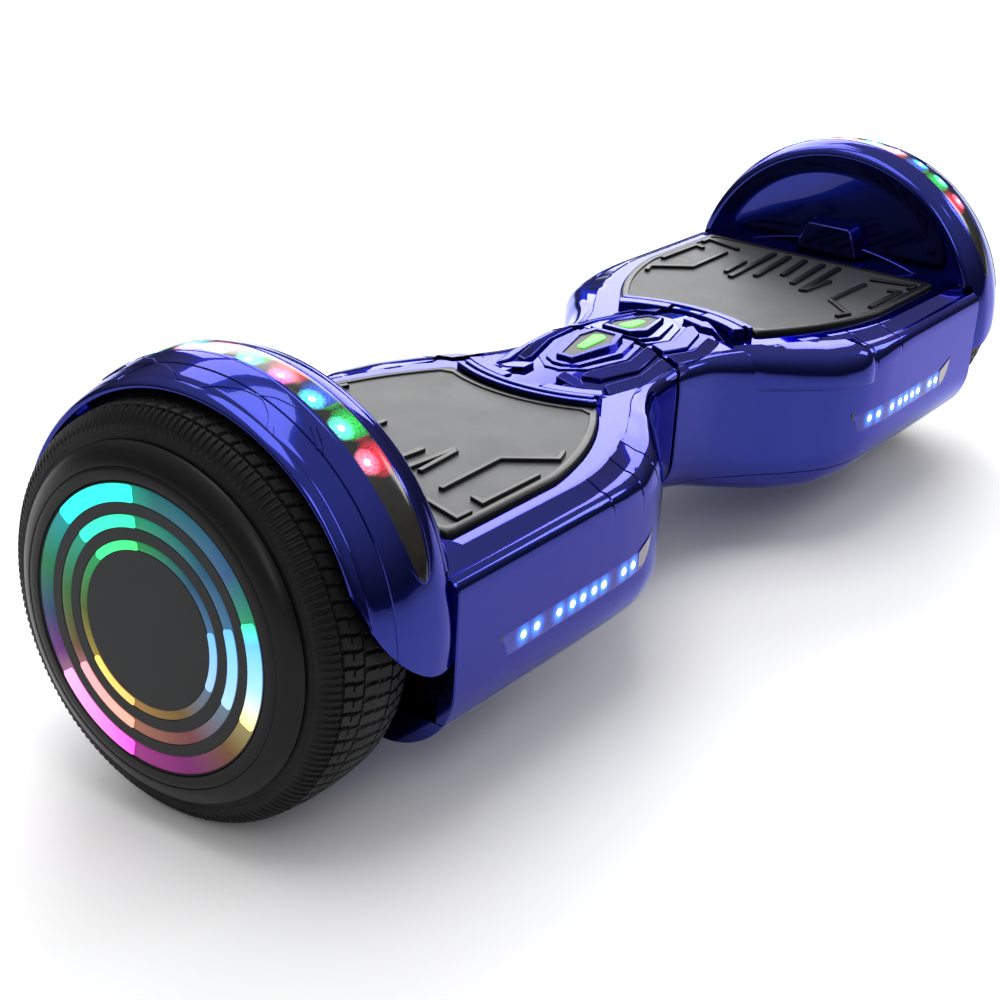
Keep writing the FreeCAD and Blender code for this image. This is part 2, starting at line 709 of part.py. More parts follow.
def charge_cap():
    """The flap over the socket. It hangs from a round bar along its top edge."""
    half = CAP_SIZE / 2
    y0 = WALL_Y + 0.3
    flap = box(PORT_X - half, PORT_X + half, y0, y0 + CAP_T, PANEL_Z - half, PANEL_Z + half)
    bar = disc_x(HINGE_R, PORT_X - half - 1.5, PORT_X + half + 1.5, PANEL_Z + half, y0 + CAP_T / 2)
    return flap.fuse(bar)


def power_button():
    """The round button, free to slide in its bezel."""
    return bar_y(BUTTON_R - 0.4, BUTTON_X, 80.0, WALL_Y + 1.7)


def button_bezel():
    """The ring around the button."""
    ring = bar_y(BUTTON_R + 2.0, BUTTON_X, WALL_Y - 4.0, WALL_Y + 0.4)
    return ring.cut(bar_y(BUTTON_R, BUTTON_X, 80.0, 95.0))


def right_panel(shell):
    """Adds the flap's two hinge ears to the right upper casing, and cuts its back wall's holes."""
    half, y = CAP_SIZE / 2, WALL_Y + 0.3 + CAP_T / 2
    z = PANEL_Z + half
    for side in (-1, 1):
        x0, x1 = sorted((PORT_X + side * (half + 0.4), PORT_X + side * (half + 2.4)))
        shell = shell.fuse(box(x0, x1, WALL_Y - 2.5, y + 1.3, z - 1.6, z + 1.6))
        shell = shell.cut(disc_x(HINGE_R + 0.08, x0 - 1, x1 + 1, z, y))
    shell = shell.cut(bar_y(PORT_R, PORT_X, 70, 95))
    return shell.cut(bar_y(BUTTON_R + 2.1, BUTTON_X, 70, 95))


def status_window():
    return window_prism(0.0, BOSS_TOP - WINDOW_T, BOSS_TOP + 0.3)


def build():
    form, core = casing_form(), casing_form(WALL)
    band = fender_band()
    right_deck = right_panel(deck_shell(form, core, False))
    left_deck = mirrored(deck_shell(form, core, True))
    parts = {
        "right_deck_shell": right_deck,
        "left_deck_shell": left_deck,
        "right_light_lenses": light_lenses(form, False),
        "left_light_lenses": mirrored(light_lenses(form, True)),
        "right_light_boards": light_boards(False),
        "left_light_boards": mirrored(light_boards(True)),
        "right_chassis": chassis(BUSH_R),
        "left_chassis": mirrored(chassis(PIVOT_R)),
        "pivot_tube": pivot_tube(),
        "pivot_bushes": pivot_bushes(),
        "pivot_ring": pivot_ring(),
        "centre_harness": centre_harness(),
        "battery_pack": battery(),
        "control_board": control_board(),
        "charge_socket": charge_socket(),
        "charge_cap": charge_cap(),
        "power_button": power_button(),
        "power_button_bezel": button_bezel(),
    }
    both = {
        "base_shell": base_shell(form, core),
        "fender": fender(band),
        "fender_lens": fender_lens(band),
        "fender_leds": fender_leds(),
        "status_window": status_window(),
        "foot_pad": foot_pad(),
        "pad_plungers": pad_plungers(),
        "gyro_board": gyro_board(),
        "axle_clamp": axle_clamp(),
        "clamp_screws": clamp_screws(),
        "base_screws": base_screws(),
        "axle": axle(),
        "stator": stator(),
        "stator_coils": stator_coils(),
        "motor_drum": motor_drum(),
        "motor_plate": motor_plate(),
        "magnets": magnets(),
        "wheel_bearings": wheel_bearings(),
        "tyre": tyre(),
        "hub_cover": hub_cover(),
        "light_disc": light_disc(),
    }
    for name, shape in both.items():
        parts["right_" + name] = shape
        parts["left_" + name] = mirrored(shape)
    return parts


def main():
    os.makedirs("parts", exist_ok=True)
    for name, shape in sorted(build().items()):
        solids = shape.Solids
        if not solids or not all(s.isValid() and s.Volume > 0 for s in solids):
            print("BAD SOLID", name, len(solids), [s.isValid() for s in solids])
        out = solids[0] if len(solids) == 1 else Part.makeCompound(solids)
        out.exportStep("parts/%s.step" % name)
        print("%-22s solids %2d  volume %.1f cm3" % (name, len(solids), out.Volume / 1000))


main()
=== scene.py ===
import json
import math

import bmesh
import bpy
import numpy as np
from mathutils import Matrix, Vector

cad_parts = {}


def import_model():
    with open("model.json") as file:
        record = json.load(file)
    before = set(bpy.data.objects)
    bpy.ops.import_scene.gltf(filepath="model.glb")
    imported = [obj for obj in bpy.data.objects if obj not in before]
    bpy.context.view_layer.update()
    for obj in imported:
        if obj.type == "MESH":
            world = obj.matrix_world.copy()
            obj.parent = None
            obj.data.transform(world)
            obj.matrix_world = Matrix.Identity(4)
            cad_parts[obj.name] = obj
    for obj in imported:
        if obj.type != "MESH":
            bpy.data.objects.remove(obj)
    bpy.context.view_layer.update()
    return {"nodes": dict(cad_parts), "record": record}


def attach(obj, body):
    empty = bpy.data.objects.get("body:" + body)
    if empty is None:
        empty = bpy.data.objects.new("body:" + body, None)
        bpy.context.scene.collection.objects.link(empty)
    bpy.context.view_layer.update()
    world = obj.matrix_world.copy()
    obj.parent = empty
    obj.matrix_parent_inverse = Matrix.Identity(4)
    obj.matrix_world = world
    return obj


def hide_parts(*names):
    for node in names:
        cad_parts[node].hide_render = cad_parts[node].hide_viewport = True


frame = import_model()

# All shapes below are drawn in millimetres, for the right half, and mirrored for the left one.
K = 0.001
AXLE_Z = 80.0
DECK_Z = 108.5
SPLIT_Z = 46.3
SEAM_X, END_X = 1.5, 238.5
WALL_Y = 88.7
SIDES = (("left", -1), ("right", 1))
# The charge port and its square flap, the screws of the underside, and the hole of the seam's seal
PORT_X, PORT_Z, PORT_R, FLAP_HALF = 190.0, 88.5, 8.0, 9.5
SCREW_SPOTS = [(60.0, 24.0), (60.0, -24.0), (132.0, 46.0), (132.0, -46.0), (214.0, 40.0), (214.0, -40.0)]
SEAL_HOLE_R = 21.6
# The raised centre's skin: radius across, top at the seam, fall for each millimetre along X
CROWN_R, CROWN_TOP, CROWN_FALL = 81.0, 118.4, 0.085
# The tyre: tread radius, shoulder radius and its two sides
TYRE_R, TYRE_EDGE_R, TYRE_X0, TYRE_X1 = 80.0, 79.0, 247.5, 294.5
TYRE_MID_X = (TYRE_X0 + TYRE_X1) / 2

# x, half width, lowest z, bottom corner radius, shoulder radius
STATIONS = [
    (1.5, 38.0, 44.0, 20.0, 8.0),
    (25.0, 42.0, 40.0, 20.0, 9.0),
    (46.0, 53.0, 36.0, 20.0, 13.0),
    (67.0, 69.0, 33.0, 22.0, 17.0),
    (88.0, 82.0, 31.5, 26.0, 18.0),
    (108.0, 87.0, 31.0, 29.0, 14.0),
    (129.0, 88.5, 31.0, 31.0, 10.0),
    (150.0, 88.7, 31.0, 31.0, 8.0),
    (END_X, 88.7, 31.0, 31.0, 8.0),
]
# The fender is turned about an axis at FENDER_Z: x, outer radius
FENDER_Z = 82.0
FENDER_ARCS = [(234.0, 83.0), (240.5, 87.8), (250.0, 90.0), (261.0, 89.2), (272.0, 86.4), (283.0, 82.6)]
# x and height of the rounded end of the fender's band
FENDER_ENDS = [(238.6, 72.0), (252.0, 74.0), (262.0, 79.0), (271.0, 87.0), (278.0, 97.0), (283.0, 112.0)]
# The light strip: degrees from the front, width
STRIP_WIDTHS = [
    (19.0, 0.4), (20.5, 5.0), (26.0, 10.0), (35.0, 13.4),
    (50.0, 15.0), (65.0, 14.2), (80.0, 12.4), (90.0, 12.0)
]
# Degrees at which the strip's lens ends, and millimetres of the fender's skin in a degree
STRIP_END = 19.2
MM_PER_DEG = 1.55
STRIP_MID_X = 254.5
# Headlight whose sharp end points to the middle of the board, in XZ. The other kind is its mirror.
LENS_OUTLINE = [(211, 73), (113, 73), (100.5, 77.5), (103.5, 68), (108, 63), (206.8, 62.7)]
LENS_SPAN = 306.0
LIGHT_X = (117.5, 125.3, 140.7, 147.7, 155.7, 163.2, 172.5, 187.6, 196.5)
LIGHT_Z = 68.4
HALO_R = 7.2


# ---- mesh helpers ------------------------------------------------------------------------------


def smooth_table(table, column=1):
    """A monotone cubic through a column of a table, as a function of the table's first column."""
    xs, ys = (np.array([row[c] for row in table], float) for c in (0, column))
    h = np.diff(xs)
    d = np.diff(ys) / h
    m = np.zeros(len(xs))
    for i in range(1, len(xs) - 1):
        if d[i - 1] * d[i] > 0:
            w1, w2 = 2 * h[i] + h[i - 1], h[i] + 2 * h[i - 1]
            m[i] = (w1 + w2) / (w1 / d[i - 1] + w2 / d[i])
    m[0], m[-1] = d[0], d[-1]

    def at(x):
        x = min(max(x, xs[0]), xs[-1])
        i = min(int(np.searchsorted(xs, x, side="right")) - 1, len(h) - 1)
        t = (x - xs[i]) / h[i]
        a, b = ys[i], ys[i + 1]
        return float(
            a * (1 + 2 * t) * (1 - t) ** 2
            + m[i] * h[i] * t * (1 - t) ** 2
            + b * t * t * (3 - 2 * t)
            + m[i + 1] * h[i] * t * t * (t - 1)
        )

    return at


half_at = smooth_table(STATIONS)
low_at = smooth_table(STATIONS, 2)
corner_at = smooth_table(STATIONS, 3)
shoulder_at = smooth_table(STATIONS, 4)
fender_r_at = smooth_table(FENDER_ARCS)
fender_end_at = smooth_table(FENDER_ENDS)
strip_width_at = smooth_table(STRIP_WIDTHS)


def piece(name, verts, faces, material, body, replaces=(), slot=None, sharp=32):
    """A finished mesh piece from millimetre points, riding on a body."""
    me = bpy.data.meshes.new(name)
    points = [(x * K, y * K, z * K) for x, y, z in verts]
    me.from_pydata(points, [], [tuple(f) for f in faces])
    me.validate()
    bm = bmesh.new()
    bm.from_mesh(me)
    bmesh.ops.remove_doubles(bm, verts=bm.verts, dist=0.00001)
    bmesh.ops.recalc_face_normals(bm, faces=bm.faces)
    bm.to_mesh(me)
    bm.free()
    me.shade_smooth()
    me.set_sharp_from_angle(angle=math.radians(sharp))
    me.materials.append(material)
    ob = bpy.data.objects.new(name, me)
    bpy.context.scene.collection.objects.link(ob)
    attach(ob, body)
    if replaces:
        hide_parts(*replaces)
    return ob


def bevel(ob, width):
    """Rounds a piece's edges by a width in millimetres."""
    m = ob.modifiers.new("edge", "BEVEL")
    m.width, m.segments = width * K, 3
    m.limit_method, m.angle_limit = "ANGLE", math.radians(35)
    return ob


def chrome(name, verts, faces, body, edge=None, **kw):
    """A blue chrome piece, with rounded edges if edge is given."""
    ob = piece(name, verts, faces, CHROME, body, slot="chrome_blue", **kw)
    return bevel(ob, edge) if edge else ob


def grid_faces(rows, columns, wrap_rows=False, wrap_columns=False, start=0):
    """Quads of a grid whose points are stored row by row."""
    faces = []
    for r in range(rows if wrap_rows else rows - 1):
        for c in range(columns if wrap_columns else columns - 1):
            r2, c2 = (r + 1) % rows, (c + 1) % columns
            corners = (r * columns + c, r2 * columns + c, r2 * columns + c2, r * columns + c2)
            faces.append(tuple(start + i for i in corners))
    return faces


def side_faces(n):
    """Quads between an outline of n points and the same outline after it."""
    return [(i, (i + 1) % n, n + (i + 1) % n, n + i) for i in range(n)]


def block_faces(n):
    """A block between an outline of n points and the same outline after it."""
    return [tuple(range(n)), tuple(range(n, 2 * n))] + side_faces(n)


def band_faces(n):
    """A block like block_faces, whose long thin outline is there and back, with its lids cut into quads."""
    faces = []
    for i in range(n // 2 - 1):
        j = n - 1 - i
        faces += [(i, i + 1, j - 1, j), (n + i, n + i + 1, n + j - 1, n + j)]
    return faces + side_faces(n)


def circle(r, n, cx=0.0, cy=0.0):
    """Points round a circle."""
    turns = [2 * math.pi * k / n for k in range(n)]
    return [(cx + r * math.cos(a), cy + r * math.sin(a)) for a in turns]


def lathe(name, profile, material, body, side, steps, **kw):
    """Turns an open (x, radius) profile about the axle."""
    verts = []
    for x, r in profile:
        verts += [(side * x, y, z) for y, z in circle(r, steps, 0.0, AXLE_Z)]
    return piece(name, verts, grid_faces(len(profile), steps, wrap_columns=True), material, body, **kw)


def two_levels(outline, side, low, high):
    """An outline's points at two heights, each a number or a function of x and y."""
    levels = [z if callable(z) else lambda x, y, z=z: z for z in (low, high)]
    return [(side * x, y, level(x, y)) for level in levels for x, y in outline]


def prism(name, outline, low, high, material, body, side, edge, **kw):
    """A plate from a plan outline, with rounded edges. Its heights are numbers or functions of x and y."""
    verts = two_levels(outline, side, low, high)
    return bevel(piece(name, verts, block_faces(len(outline)), material, body, **kw), edge)


def arc(cx, cy, r, a0, a1, n):
    """Plan points on an arc, angles in degrees."""
    turns = [math.radians(a0 + (a1 - a0) * i / (n - 1)) for i in range(n)]
    return [(cx + r * math.cos(a), cy + r * math.sin(a)) for a in turns]


# ---- materials ---------------------------------------------------------------------------------


class Nodes:
    """A short way to write a material's node tree."""

    def __init__(self, name):
        self.mat = bpy.data.materials.new(name)
        self.mat.use_nodes = True
        self.tree = self.mat.node_tree
        self.bsdf = self.tree.nodes["Principled BSDF"]

    def add(self, kind, **settings):
        node = self.tree.nodes.new(kind)
        for key, value in settings.items():
            setattr(node, key, value)
        return node

    def link(self, a, b):
        self.tree.links.new(a, b)

    def set(self, **values):
        for key, value in values.items():
            self.bsdf.inputs[key.replace("_", " ")].default_value = value

    def coords(self):
        return self.add("ShaderNodeTexCoord").outputs["Object"]

    def math(self, op, a, b=None, clamp=False):
        node = self.add("ShaderNodeMath", operation=op, use_clamp=clamp)
        for i, v in enumerate((a, b)):
            if v is None:
                continue
            if isinstance(v, (int, float)):
                node.inputs[i].default_value = v
            else:
                self.link(v, node.inputs[i])
        return node.outputs[0]

    def noise(self, scale, detail=4.0, rough=0.5):
        node = self.add("ShaderNodeTexNoise")
        node.inputs["Scale"].default_value = scale
        node.inputs["Detail"].default_value = detail
        node.inputs["Roughness"].default_value = rough
        self.link(self.coords(), node.inputs["Vector"])
        return node.outputs["Fac"]

    def remap(self, value, a, b, lo=0.3, hi=0.7):
        node = self.add("ShaderNodeMapRange")
        self.link(value, node.inputs["Value"])
        node.inputs["From Min"].default_value = lo
        node.inputs["From Max"].default_value = hi
        node.inputs["To Min"].default_value = a
        node.inputs["To Max"].default_value = b
        return node.outputs[0]

    def ramp(self, value, stops, mode="LINEAR"):
        node = self.add("ShaderNodeValToRGB")
        node.color_ramp.interpolation = mode
        elements = node.color_ramp.elements
        while len(elements) > 1:
            elements.remove(elements[-1])
        elements[0].position = stops[0][0]
        elements[0].color = (*stops[0][1], 1)
        for pos, colour in stops[1:]:
            e = elements.new(pos)
            e.color = (*colour, 1)
        self.link(value, node.inputs["Fac"])
        return node.outputs["Color"]

    def bump(self, height, strength, distance=0.0004):
        node = self.add("ShaderNodeBump")
        node.inputs["Strength"].default_value = strength
        node.inputs["Distance"].default_value = distance
        self.link(height, node.inputs["Height"])
        self.link(node.outputs["Normal"], self.bsdf.inputs["Normal"])

    def input(self, name):
        return self.bsdf.inputs[name]


def chrome_blue():
    """Blue metallised plastic under a clear coat, with slight waviness and uneven gloss."""
    m = Nodes("chrome_blue")
    m.set(Metallic=1.0, Coat_Weight=0.55, Coat_Roughness=0.02, Coat_IOR=1.5)
    m.input("Specular Tint").default_value = (0.30, 0.36, 1.0, 1)
    colour = m.ramp(m.noise(6.0, 2.0), [(0.3, (0.004, 0.010, 0.17)), (0.7, (0.006, 0.014, 0.21))])
    m.link(colour, m.input("Base Color"))
    m.link(m.remap(m.noise(35.0, 3.0), 0.10, 0.16), m.input("Roughness"))
    m.bump(m.noise(18.0, 2.0), 0.02, 0.0006)
    return m.mat


def plastic(name, colour, rough, spread=0.2, grain=300.0, bump=0.2, coat=0.0, sheen=0.5, drift=0.15):
    """A moulded plastic or rubber: slow colour drift, fine grain and uneven gloss."""
    m = Nodes(name)
    dark = tuple(c * (1 - spread) for c in colour)
    light = tuple(min(1.0, c * (1 + spread)) for c in colour)
    m.link(m.ramp(m.noise(14.0, 5.0), [(0.3, dark), (0.7, light)]), m.input("Base Color"))
    gloss = m.remap(m.noise(60.0, 4.0), rough * (1 - drift), min(1.0, rough * (1 + drift)))
    m.link(gloss, m.input("Roughness"))
    m.bump(m.noise(grain, 3.0, 0.6), bump, 0.0003)
    m.input("Specular IOR Level").default_value = sheen
    if coat:
        m.set(Coat_Weight=coat, Coat_Roughness=0.05)
    return m.mat


def metal(name, colour, rough):
    """A bare metal: slow colour drift, uneven gloss and fine grain."""
    m = Nodes(name)
    m.set(Metallic=1.0)
    dark = tuple(c * 0.8 for c in colour)
    m.link(m.ramp(m.noise(25.0, 5.0), [(0.3, dark), (0.7, colour)]), m.input("Base Color"))
    m.link(m.remap(m.noise(300.0, 4.0), rough * 0.7, rough * 1.3), m.input("Roughness"))
    m.bump(m.noise(300.0, 3.0), 0.1, 0.0002)
    return m.mat


def around_axle(m):
    """The turn about the axle, 0 to 1, starting at the front and rising over the top."""
    split = m.add("ShaderNodeSeparateXYZ")
    m.link(m.coords(), split.inputs[0])
    up = m.math("SUBTRACT", split.outputs["Z"], AXLE_Z * K)
    front = m.math("MULTIPLY", split.outputs["Y"], -1.0)
    angle = m.math("ARCTAN2", up, front)
    turn = m.math("DIVIDE", angle, 2 * math.pi)
    return m.math("FRACT", m.math("ADD", turn, 1.0)), split


# Colours round the wheel's lit rings, by turn from the front over the top and RING_TURN degrees on
RING_TURN = 13.0
RING_COLOURS = [
    [
        (0.00, (0.12, 0.45, 0.85)), (0.025, (0.04, 0.80, 0.35)), (0.08, (0.08, 0.25, 0.60)),
        (0.20, (0.03, 0.40, 0.40)), (0.23, (0.02, 0.85, 0.60)), (0.36, (0.02, 0.85, 0.85)),
        (0.43, (0.04, 0.50, 0.20)), (0.49, (0.08, 0.15, 0.40)), (0.54, (0.35, 0.08, 0.50)),
        (0.565, (0.90, 0.40, 0.70)), (0.69, (0.90, 0.08, 0.62)), (0.78, (0.50, 0.04, 0.38)),
        (0.85, (0.42, 0.20, 0.06)), (0.90, (0.90, 0.78, 0.30)), (0.95, (0.30, 0.60, 0.90)),
        (1.00, (0.12, 0.45, 0.85)),
    ],
    [
        (0.00, (0.15, 0.48, 0.85)), (0.10, (0.04, 0.22, 0.45)), (0.23, (0.03, 0.80, 0.40)),
        (0.36, (0.03, 0.88, 0.55)), (0.45, (0.10, 0.40, 0.10)), (0.54, (0.35, 0.20, 0.08)),
        (0.565, (0.90, 0.35, 0.40)), (0.69, (0.92, 0.38, 0.25)), (0.80, (0.45, 0.12, 0.14)),
        (0.90, (0.35, 0.60, 0.80)), (1.00, (0.15, 0.48, 0.85)),
    ],
    [
        (0.00, (0.15, 0.42, 0.80)), (0.10, (0.04, 0.20, 0.42)), (0.23, (0.05, 0.75, 0.18)),
        (0.36, (0.04, 0.88, 0.28)), (0.47, (0.20, 0.32, 0.05)), (0.565, (0.88, 0.62, 0.12)),
        (0.69, (0.92, 0.50, 0.14)), (0.80, (0.42, 0.26, 0.05)), (0.90, (0.30, 0.50, 0.80)),
        (1.00, (0.15, 0.42, 0.80)),
    ],
]


def wheel_light(name, ring, strength, tint=1.0):
    """A lit ring of the wheel: its colour turns with the angle."""
    m = Nodes(name)
    turn, _ = around_axle(m)
    turn = m.math("FRACT", m.math("ADD", turn, 1.0 - RING_TURN / 360))
    colour = m.ramp(turn, [(p, tuple(v * tint for v in c)) for p, c in RING_COLOURS[ring]])
    m.link(colour, m.input("Base Color"))
    m.link(colour, m.input("Emission Color"))
    m.link(m.remap(m.noise(40.0, 3.0), strength * 0.85, strength * 1.1), m.input("Emission Strength"))
    m.set(Roughness=0.4)
    m.input("Specular IOR Level").default_value = 0.2
    return m.mat


# Each strip light's colour, and the colour it spreads under the smoked lens beside it
STRIP_LIGHTS = [
    ((1.0, 0.25, 0.40), (0.9, 0.02, 0.06)),
    ((0.15, 1.0, 0.75), (0.02, 0.75, 0.10)),
    ((0.10, 0.85, 1.0), (0.05, 0.15, 0.85)),
    ((1.0, 0.20, 0.65), (0.9, 0.03, 0.05)),
    ((0.10, 0.80, 1.0), (0.03, 0.70, 0.15)),
    ((0.45, 1.0, 0.75), (0.85, 0.08, 0.15)),
    ((1.0, 0.30, 0.50), (0.10, 0.60, 0.75)),
    ((0.15, 0.95, 0.85), (0.03, 0.75, 0.15)),
    ((0.20, 0.60, 1.0), (0.9, 0.03, 0.08)),
    ((1.0, 0.25, 0.40), (0.9, 0.02, 0.06)),
]
LED_FROM, LED_TO = 48.0, 132.0
LED_STEP = (LED_TO - LED_FROM) / (len(STRIP_LIGHTS) - 1)
LED_X = STRIP_MID_X + 2.6


def smoked_strip():
    """The fender's smoked lens, with each light's colour spreading under it."""
    m = Nodes("smoked_strip")
    turn, split = around_axle(m)
    first = (LED_FROM - LED_STEP / 2) / 360
    along = m.math("DIVIDE", m.math("SUBTRACT", turn, first), LED_STEP / 360)
    from_light = m.math("ABSOLUTE", m.math("SUBTRACT", m.math("FRACT", along), 0.5))
    x = m.math("ABSOLUTE", split.outputs["X"])

    def spot(middle_x, reach, squeeze):
        """A soft spot at each light: 1 in its middle, 0 at its edge."""
        across = m.math("DIVIDE", m.math("ABSOLUTE", m.math("SUBTRACT", x, middle_x * K)), reach * K)
        lengthways = m.math("MULTIPLY", m.math("POWER", from_light, 2.0), squeeze)
        fall = m.math("ADD", lengthways, m.math("POWER", across, 2.0))
        return m.math("SUBTRACT", 1.0, fall, True)

    core = spot(LED_X, 5.2, 7.0)
    patch = spot(STRIP_MID_X - 2.2, 7.8, 3.4)
    after_first = m.math("GREATER_THAN", along, 0.0)
    before_last = m.math("LESS_THAN", along, float(len(STRIP_LIGHTS)))
    inside = m.math("MULTIPLY", after_first, before_last)
    places = [first + LED_STEP / 360 * i for i in range(len(STRIP_LIGHTS))]
    mix = m.add("ShaderNodeMix", data_type="RGBA")
    m.link(m.math("DIVIDE", core, m.math("ADD", m.math("ADD", core, patch), 0.01)), mix.inputs["Factor"])
    for k, socket in ((1, "A"), (0, "B")):
        colours = [(place, light[k]) for place, light in zip(places, STRIP_LIGHTS)]
        m.link(m.ramp(turn, colours, "CONSTANT"), mix.inputs[socket])
    m.link(mix.outputs["Result"], m.input("Emission Color"))
    speckle = m.remap(m.noise(1500.0, 2.0), 0.35, 1.65)
    light = m.math("ADD", m.math("MULTIPLY", core, 2.0), m.math("MULTIPLY", patch, 1.1))
    m.link(m.math("MULTIPLY", m.math("MULTIPLY", light, inside), speckle), m.input("Emission Strength"))
    smoke = [(0.3, (0.006, 0.0055, 0.005)), (0.7, (0.016, 0.014, 0.012))]
    m.link(m.ramp(m.noise(90.0, 5.0), smoke), m.input("Base Color"))
    m.set(Roughness=0.14)
    m.input("Specular IOR Level").default_value = 0.45
    return m.mat


def head_lens(name, light_xs):
    """A headlight lens: deep blue, with a bright blue halo round each of its lights."""
    m = Nodes(name)
    split = m.add("ShaderNodeSeparateXYZ")
    m.link(m.coords(), split.inputs[0])
    x = m.math("ABSOLUTE", split.outputs["X"])
    nearest = m.math("ABSOLUTE", m.math("SUBTRACT", x, light_xs[0] * K))
    for light_x in light_xs[1:]:
        nearest = m.math("MINIMUM", nearest, m.math("ABSOLUTE", m.math("SUBTRACT", x, light_x * K)))
    off = m.math("SUBTRACT", split.outputs["Z"], LIGHT_Z * K)
    squares = m.math("ADD", m.math("MULTIPLY", nearest, nearest), m.math("MULTIPLY", off, off))
    fall = m.math("DIVIDE", m.math("SQRT", squares), HALO_R * K)
    halo = m.math("POWER", m.math("SUBTRACT", 1.0, fall, True), 1.6)
    base = [(0.3, (0.01, 0.01, 0.16)), (0.7, (0.02, 0.025, 0.30))]
    shine = [(0.0, (0.02, 0.03, 0.75)), (0.5, (0.04, 0.30, 1.0)), (1.0, (0.45, 0.85, 1.0))]
    m.link(m.ramp(m.noise(120.0, 4.0), base), m.input("Base Color"))
    m.link(m.ramp(halo, shine), m.input("Emission Color"))
    m.link(m.math("ADD", m.math("MULTIPLY", halo, 1.9), 0.12), m.input("Emission Strength"))
    m.set(Roughness=0.15)
    m.input("Specular IOR Level").default_value = 0.3
    return m.mat


def glow(name, colour, strength):
    """A lit plastic: its light and its colour vary slightly."""
    m = Nodes(name)
    m.input("Emission Color").default_value = (*colour, 1)
    m.link(m.remap(m.noise(400.0, 2.0), strength * 0.9, strength * 1.1), m.input("Emission Strength"))
    pale = tuple(min(1.0, c * 1.2 + 0.05) for c in colour)
    m.link(m.ramp(m.noise(300.0, 2.0), [(0.3, colour), (0.7, pale)]), m.input("Base Color"))
    m.set(Roughness=0.25)
    return m.mat


CHROME = chrome_blue()
MAT_RUBBER = plastic("mat_rubber", (0.030, 0.031, 0.034), 0.5, 0.05, 1400.0, 0.3, sheen=0.3, drift=0.05)
RIB_RUBBER = plastic("rib_rubber", (0.005, 0.005, 0.0055), 0.34, 0.15, 900.0, 0.15, sheen=0.2, drift=0.08)
TYRE_RUBBER = plastic("tyre_rubber", (0.005, 0.005, 0.005), 0.5, 0.2, 700.0, 0.3, sheen=0.14)
HUB_PLASTIC = plastic(
    "hub_plastic", (0.005, 0.005, 0.0055), 0.34, 0.12, 1200.0, 0.12, sheen=0.17, drift=0.08
)
DISC_PLASTIC = plastic("disc_plastic", (0.012, 0.013, 0.014), 0.4, 0.1, 800.0, 0.08, sheen=0.2, drift=0.06)
DARK_PLASTIC = plastic("dark_plastic", (0.012, 0.012, 0.013), 0.4, grain=800.0)
WINDOW = plastic("window_plastic", (0.006, 0.012, 0.004), 0.3, bump=0.03, sheen=0.12)
TRACKS = [wheel_light("wheel_track_%d" % (k + 1), k, 0.45, 0.30) for k in range(3)]
ARCS = [wheel_light("wheel_arc_%d" % (k + 1), k, 0.75) for k in range(3)]
STRIP = smoked_strip()
HEAD_LENS = head_lens("head_lens", LIGHT_X)
HEAD_LENS_OTHER = head_lens("head_lens_other", [LENS_SPAN - x for x in LIGHT_X])
LED_WHITE = glow("led_white", (0.65, 0.85, 1.0), 14.0)
GREEN = glow("status_green", (0.05, 0.80, 0.02), 1.0)
GREEN.node_tree.nodes["Principled BSDF"].inputs["Specular IOR Level"].default_value = 0.12
TIP = plastic("lens_tip", (0.10, 0.06, 0.09), 0.2, bump=0.05, coat=1.0)
ALUMINIUM = metal("cast_aluminium_look", (0.55, 0.56, 0.57), 0.4)
STEEL = metal("steel_look", (0.5, 0.5, 0.51), 0.25)
BLACK_STEEL = metal("black_steel_look", (0.04, 0.04, 0.045), 0.35)
COPPER = metal("copper_look", (0.72, 0.36, 0.18), 0.3)
BRONZE = metal("bronze_look", (0.55, 0.36, 0.16), 0.4)
BOARD = plastic("circuit_board_look", (0.02, 0.12, 0.05), 0.35, 0.3, 500.0, 0.2)
WRAP = plastic("battery_wrap_look", (0.03, 0.10, 0.40), 0.3, 0.2, 200.0, 0.3)
SILVER = metal("button_silver", (0.7, 0.7, 0.72), 0.2)

SLOT_LOOKS = {
    "chrome_blue": CHROME,
    "smoked_lens": STRIP,
    "led_strip": DARK_PLASTIC,
    "light_lens": HEAD_LENS,
    "circuit_board": BOARD,
    "status_window": WINDOW,
    "cast_aluminium": ALUMINIUM,
    "steel": STEEL,
    "black_steel": BLACK_STEEL,
    "lamination_steel": STEEL,
    "copper": COPPER,
    "mat_rubber": MAT_RUBBER,
    "black_plastic": DARK_PLASTIC,
    "magnet": STEEL,
    "tyre_rubber": TYRE_RUBBER,
    "hub_plastic": HUB_PLASTIC,
    "light_disc": DISC_PLASTIC,
    "cable_sleeve": RIB_RUBBER,
    "bronze": BRONZE,
    "battery_wrap": WRAP,
    "black_rubber": RIB_RUBBER,
    "button_plastic": SILVER,
}
slot_of = {s["node"]: s["material_slot"] for s in frame["record"]["subparts"]}
for node, ob in frame["nodes"].items():
    ob.data.materials.clear()
    ob.data.materials.append(SLOT_LOOKS[slot_of[node]])


# ---- casing ------------------------------------------------------------------------------------

PAD_X1, PAD_HALF, PAD_ARC_R, BOSS_X = 218.5, 68.6, 73.5, 9.0
PAD_CORNER = (71.9, 38.0)
PAD_GAP = 0.6
END_INSET = 0.45


def circle_through(a, b, c):
    """Middle and radius of the circle through three points."""
    ax, ay, bx, by, cx, cy = *a, *b, *c
    d = 2 * (ax * (by - cy) + bx * (cy - ay) + cx * (ay - by))
    ux = ((ax**2 + ay**2) * (by - cy) + (bx**2 + by**2) * (cy - ay) + (cx**2 + cy**2) * (ay - by)) / d
    uy = ((ax**2 + ay**2) * (cx - bx) + (bx**2 + by**2) * (ax - cx) + (cx**2 + cy**2) * (bx - ax)) / d
    return ux, uy, math.hypot(ax - ux, ay - uy)


